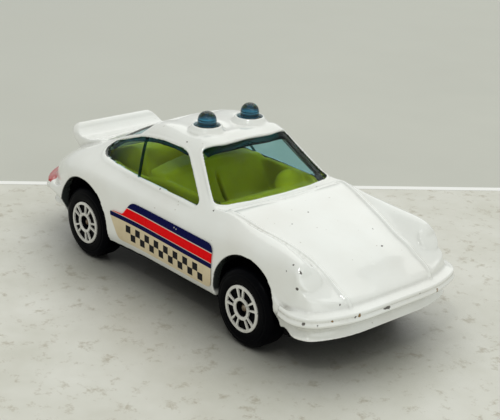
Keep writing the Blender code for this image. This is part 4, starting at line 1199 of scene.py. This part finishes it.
def sticker_print():
    """Printed film: navy, red and navy bands over cream with a plain two-row chequer."""
    paint = Paint("printed_film", (0.7, 0.6, 0.4), 0.3)
    paint.set("Specular IOR Level", 0.05)
    x, y, z = paint.axes()
    level = paint.maths("ADD", z, paint.times(x, BAND_SLOPE))
    fade = paint.ramp(paint.noise(0.4, 4.0, 0.6), 0.3, 0.7)
    tone = paint.blend(fade, (0.70, 0.60, 0.41), (0.61, 0.51, 0.33))
    from_left = paint.maths("ADD", x, CHEQUER_X * -MM)
    from_foot = paint.maths("ADD", level, CHEQUER_LOW * -MM)
    flat = paint.node("CombineXYZ", {0: from_left, 1: 0.3 * MM, 2: from_foot})
    size = 1.0 / (CHEQUER_SIZE * MM)
    chequer = paint.node("TexChecker", {"Scale": size, "Vector": flat.outputs[0]})
    top, end = CHEQUER_LOW + 2 * CHEQUER_SIZE, CHEQUER_X + CHEQUER_COUNT * CHEQUER_SIZE
    high = paint.within(level, CHEQUER_LOW * MM, top * MM, PRINT_BLUR)
    along = paint.within(x, CHEQUER_X * MM, end * MM, PRINT_BLUR)
    tone = paint.blend(
        paint.times(high, along, chequer.outputs["Fac"]), tone, (0.012, 0.012, 0.014)
    )
    for low, top, colour in BANDS:
        here = paint.within(level, low * MM, top * MM, PRINT_BLUR)
        tone = paint.blend(here, tone, colour)
    tone = paint.blend(paint.chips(STICKER_NICKS, 0.12 * MM), tone, (0.62, 0.6, 0.55))
    paint.set("Base Color", tone)
    paint.set("Roughness", paint.ramp(fade, 0.0, 1.0, 0.22, 0.36))
    paint.bump(paint.noise(0.7, 3.0), 0.012 * MM, 0.7)
    return paint.made


def dress(thing, finish, body):
    """Gives a piece its material and the body it moves with."""
    thing.data.materials.clear()
    thing.data.materials.append(finish)
    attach(thing, body)
    return thing


def redress(node, finish):
    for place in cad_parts[node].material_slots:
        place.material = finish


def stage_piece(name, corners, finish):
    bm = bmesh.new()
    bm.faces.new([bm.verts.new(corner) for corner in corners])
    made = mesh_object(name, bm)
    made.data.materials.append(finish)
    return made


def worktop():
    """Off-white worktop with a brownish mottle and a painted shadow, darker where something stands
    on it.
    """
    paint = Paint("pale_worktop", (0.6, 0.585, 0.54), 0.45)
    broad = paint.ramp(paint.noise(0.05, 4.0, 0.65), 0.35, 0.7)
    tone = paint.blend(broad, (0.69, 0.685, 0.62), (0.58, 0.57, 0.49))
    fleck = paint.ramp(paint.noise(0.35, 5.0, 0.75), 0.55, 0.66)
    tone = paint.blend(paint.times(fleck, 0.7), tone, (0.40, 0.36, 0.27))
    # Painted shadow: the worktop goes near-black where the car stands close over it.
    under = paint.crevice(18 * MM, 0.1, 0.92, False)
    paint.set("Base Color", paint.blend(under, tone, (0.07, 0.07, 0.065)))
    paint.set("Roughness", paint.ramp(broad, 0.0, 1.0, 0.35, 0.5))
    return paint.made


def backdrop_paint():
    """A plain matt grey, with painted light making it a little lighter nearby."""
    paint = Paint("pale_backdrop", (0.5, 0.5, 0.47), 0.8)
    broad = paint.ramp(paint.noise(0.02, 3.0, 0.6), 0.3, 0.7)
    # Painted light: the backdrop is lighter towards its near end.
    near = paint.ramp(paint.axes()[0], -0.3, -0.05)
    tone = paint.blend(near, (0.495, 0.505, 0.465), (0.565, 0.57, 0.51))
    paint.set("Base Color", paint.blend(broad, tone, (0.53, 0.535, 0.48)))
    return paint.made


def lamp(name, place, aim, size, watts, colour):
    data = bpy.data.lights.new(name, "AREA")
    data.shape = "RECTANGLE"
    data.size, data.size_y = size
    data.energy = watts
    data.color = colour
    made = add_object(name, data)
    made.location = place
    made.rotation_euler = (Vector(place) - Vector(aim)).to_track_quat("Z", "Y").to_euler()


def build_stage():
    """The plain worktop and backdrop, with the worktop's white edge between them."""
    along = (WORKTOP_EDGE_RIGHT - WORKTOP_EDGE_LEFT).normalized()
    left, right = WORKTOP_EDGE_LEFT - along * 4, WORKTOP_EDGE_RIGHT + along * 4
    near = Vector((along.y, -along.x, 0)) * 4
    stage_piece("floor", (left, left + near, right + near, right), worktop())
    stage_piece("backdrop", (left, right, right - near, left - near), backdrop_paint())
    lift = Vector((0, 0, 0.02 * MM))
    strip = near * (EDGE_STRIP / near.length)
    white = Paint("white_edge", (0.9, 0.9, 0.87), 0.5).made
    corners = (left, left + strip, right + strip, right)
    stage_piece("worktop_edge", [corner + lift for corner in corners], white)


def build_lights():
    """Soft lamps in an evenly lit room."""
    for values in LAMPS:
        lamp(*values)
    world = bpy.data.worlds.new("soft_room")
    bpy.context.scene.world = world
    world.use_nodes = True
    background = world.node_tree.nodes["Background"]
    background.inputs["Color"].default_value = ROOM_COLOUR
    background.inputs["Strength"].default_value = ROOM_STRENGTH
    view = bpy.context.scene.view_settings
    view.view_transform = "Standard"
    view.exposure = EXPOSURE


def build_camera():
    """The camera at the photograph's angle."""
    right_axis = Vector(CAMERA_RIGHT).normalized()
    back_axis = right_axis.cross(Vector(CAMERA_UP)).normalized()
    up_axis = back_axis.cross(right_axis)
    data = bpy.data.cameras.new("camera")
    data.lens = CAMERA_LENS
    data.sensor_width = SENSOR_WIDTH
    data.clip_start = CLIP_START
    made = add_object("camera", data)
    turn = Matrix((right_axis, up_axis, back_axis)).transposed().to_4x4()
    made.matrix_world = Matrix.Translation(Vector(CAMERA_PLACE) * MM) @ turn
    bpy.context.scene.camera = made


def main():
    build_stage()
    build_lights()
    build_camera()
    skin = fitted_skin(body_cage(), 3)
    tree = tree_of(skin)
    shell = dress(build_shell(skin), enamel(), "car_body")
    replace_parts(shell, "body_shell")
    tinted = glass("tinted_clear_plastic", GLASS_TINT)
    deep = glass("deep_blue_clear_plastic", BEACON_TINT, 1.49, 0.08, 0.12)
    # Dark glass for the ribs and dividers: partly thick plastic, partly painted shade.
    edge = glass("thick_clear_plastic_and_shade", RIB_AND_SHADE_TINT)
    sheet = dress(glass_sheet(skin), tinted, "car_body")
    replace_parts(sheet, "glazing")
    for side in SIDES:
        dress(beacon(side), deep, "car_body")
        dress(window_divider(tree, side), edge, "car_body")
    for thick in glass_ribs(tree):
        dress(thick, edge, "car_body")
    redress("base_plate", plastic(
        "grained_black_plastic", (0.0015, 0.0016, 0.002), (0.004, 0.004, 0.004), 0.5,
        3.0, 0.03 * MM, (0.012, 0.011, 0.009), 0.03,
    ))
    yellow = plastic(
        "moulded_yellow_plastic", (0.62, 0.49, 0.005), (0.50, 0.39, 0.004), 0.5,
        1.5, 0.03 * MM, gloss=0.1,
    )
    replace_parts(dress(build_interior(), yellow, "car_body"), "interior_tub")
    tyre, face, steel = wheel_plastic(), hub_print(), wire()
    for end, axle_x in (("front", FRONT_AXLE_X), ("rear", REAR_AXLE_X)):
        wire_name = f"{end}_axle_wire"
        axle = dress(build_axle(f"{wire_name}_steel", axle_x), steel, wire_name)
        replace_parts(axle, f"{end}_axle")
        for side in (1, -1):
            hand = HAND[side]
            body = f"{end}_{hand}_wheel"
            wheel = build_tyre(f"tyre_{end}_{hand}", axle_x, side)
            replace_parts(dress(wheel, tyre, body), f"wheel_{end}_{hand}")
            disc = build_disc(f"hub_face_{end}_{hand}", axle_x, side, DISC_TURNS[end])
            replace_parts(dress(disc, face, body), f"hub_disc_{end}_{hand}")
    film = sticker_print()
    for side in (1, -1):
        sticker = dress(build_label(skin, side), film, "car_body")
        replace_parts(sticker, f"door_label_{HAND[side]}")
    remove(skin)


main()
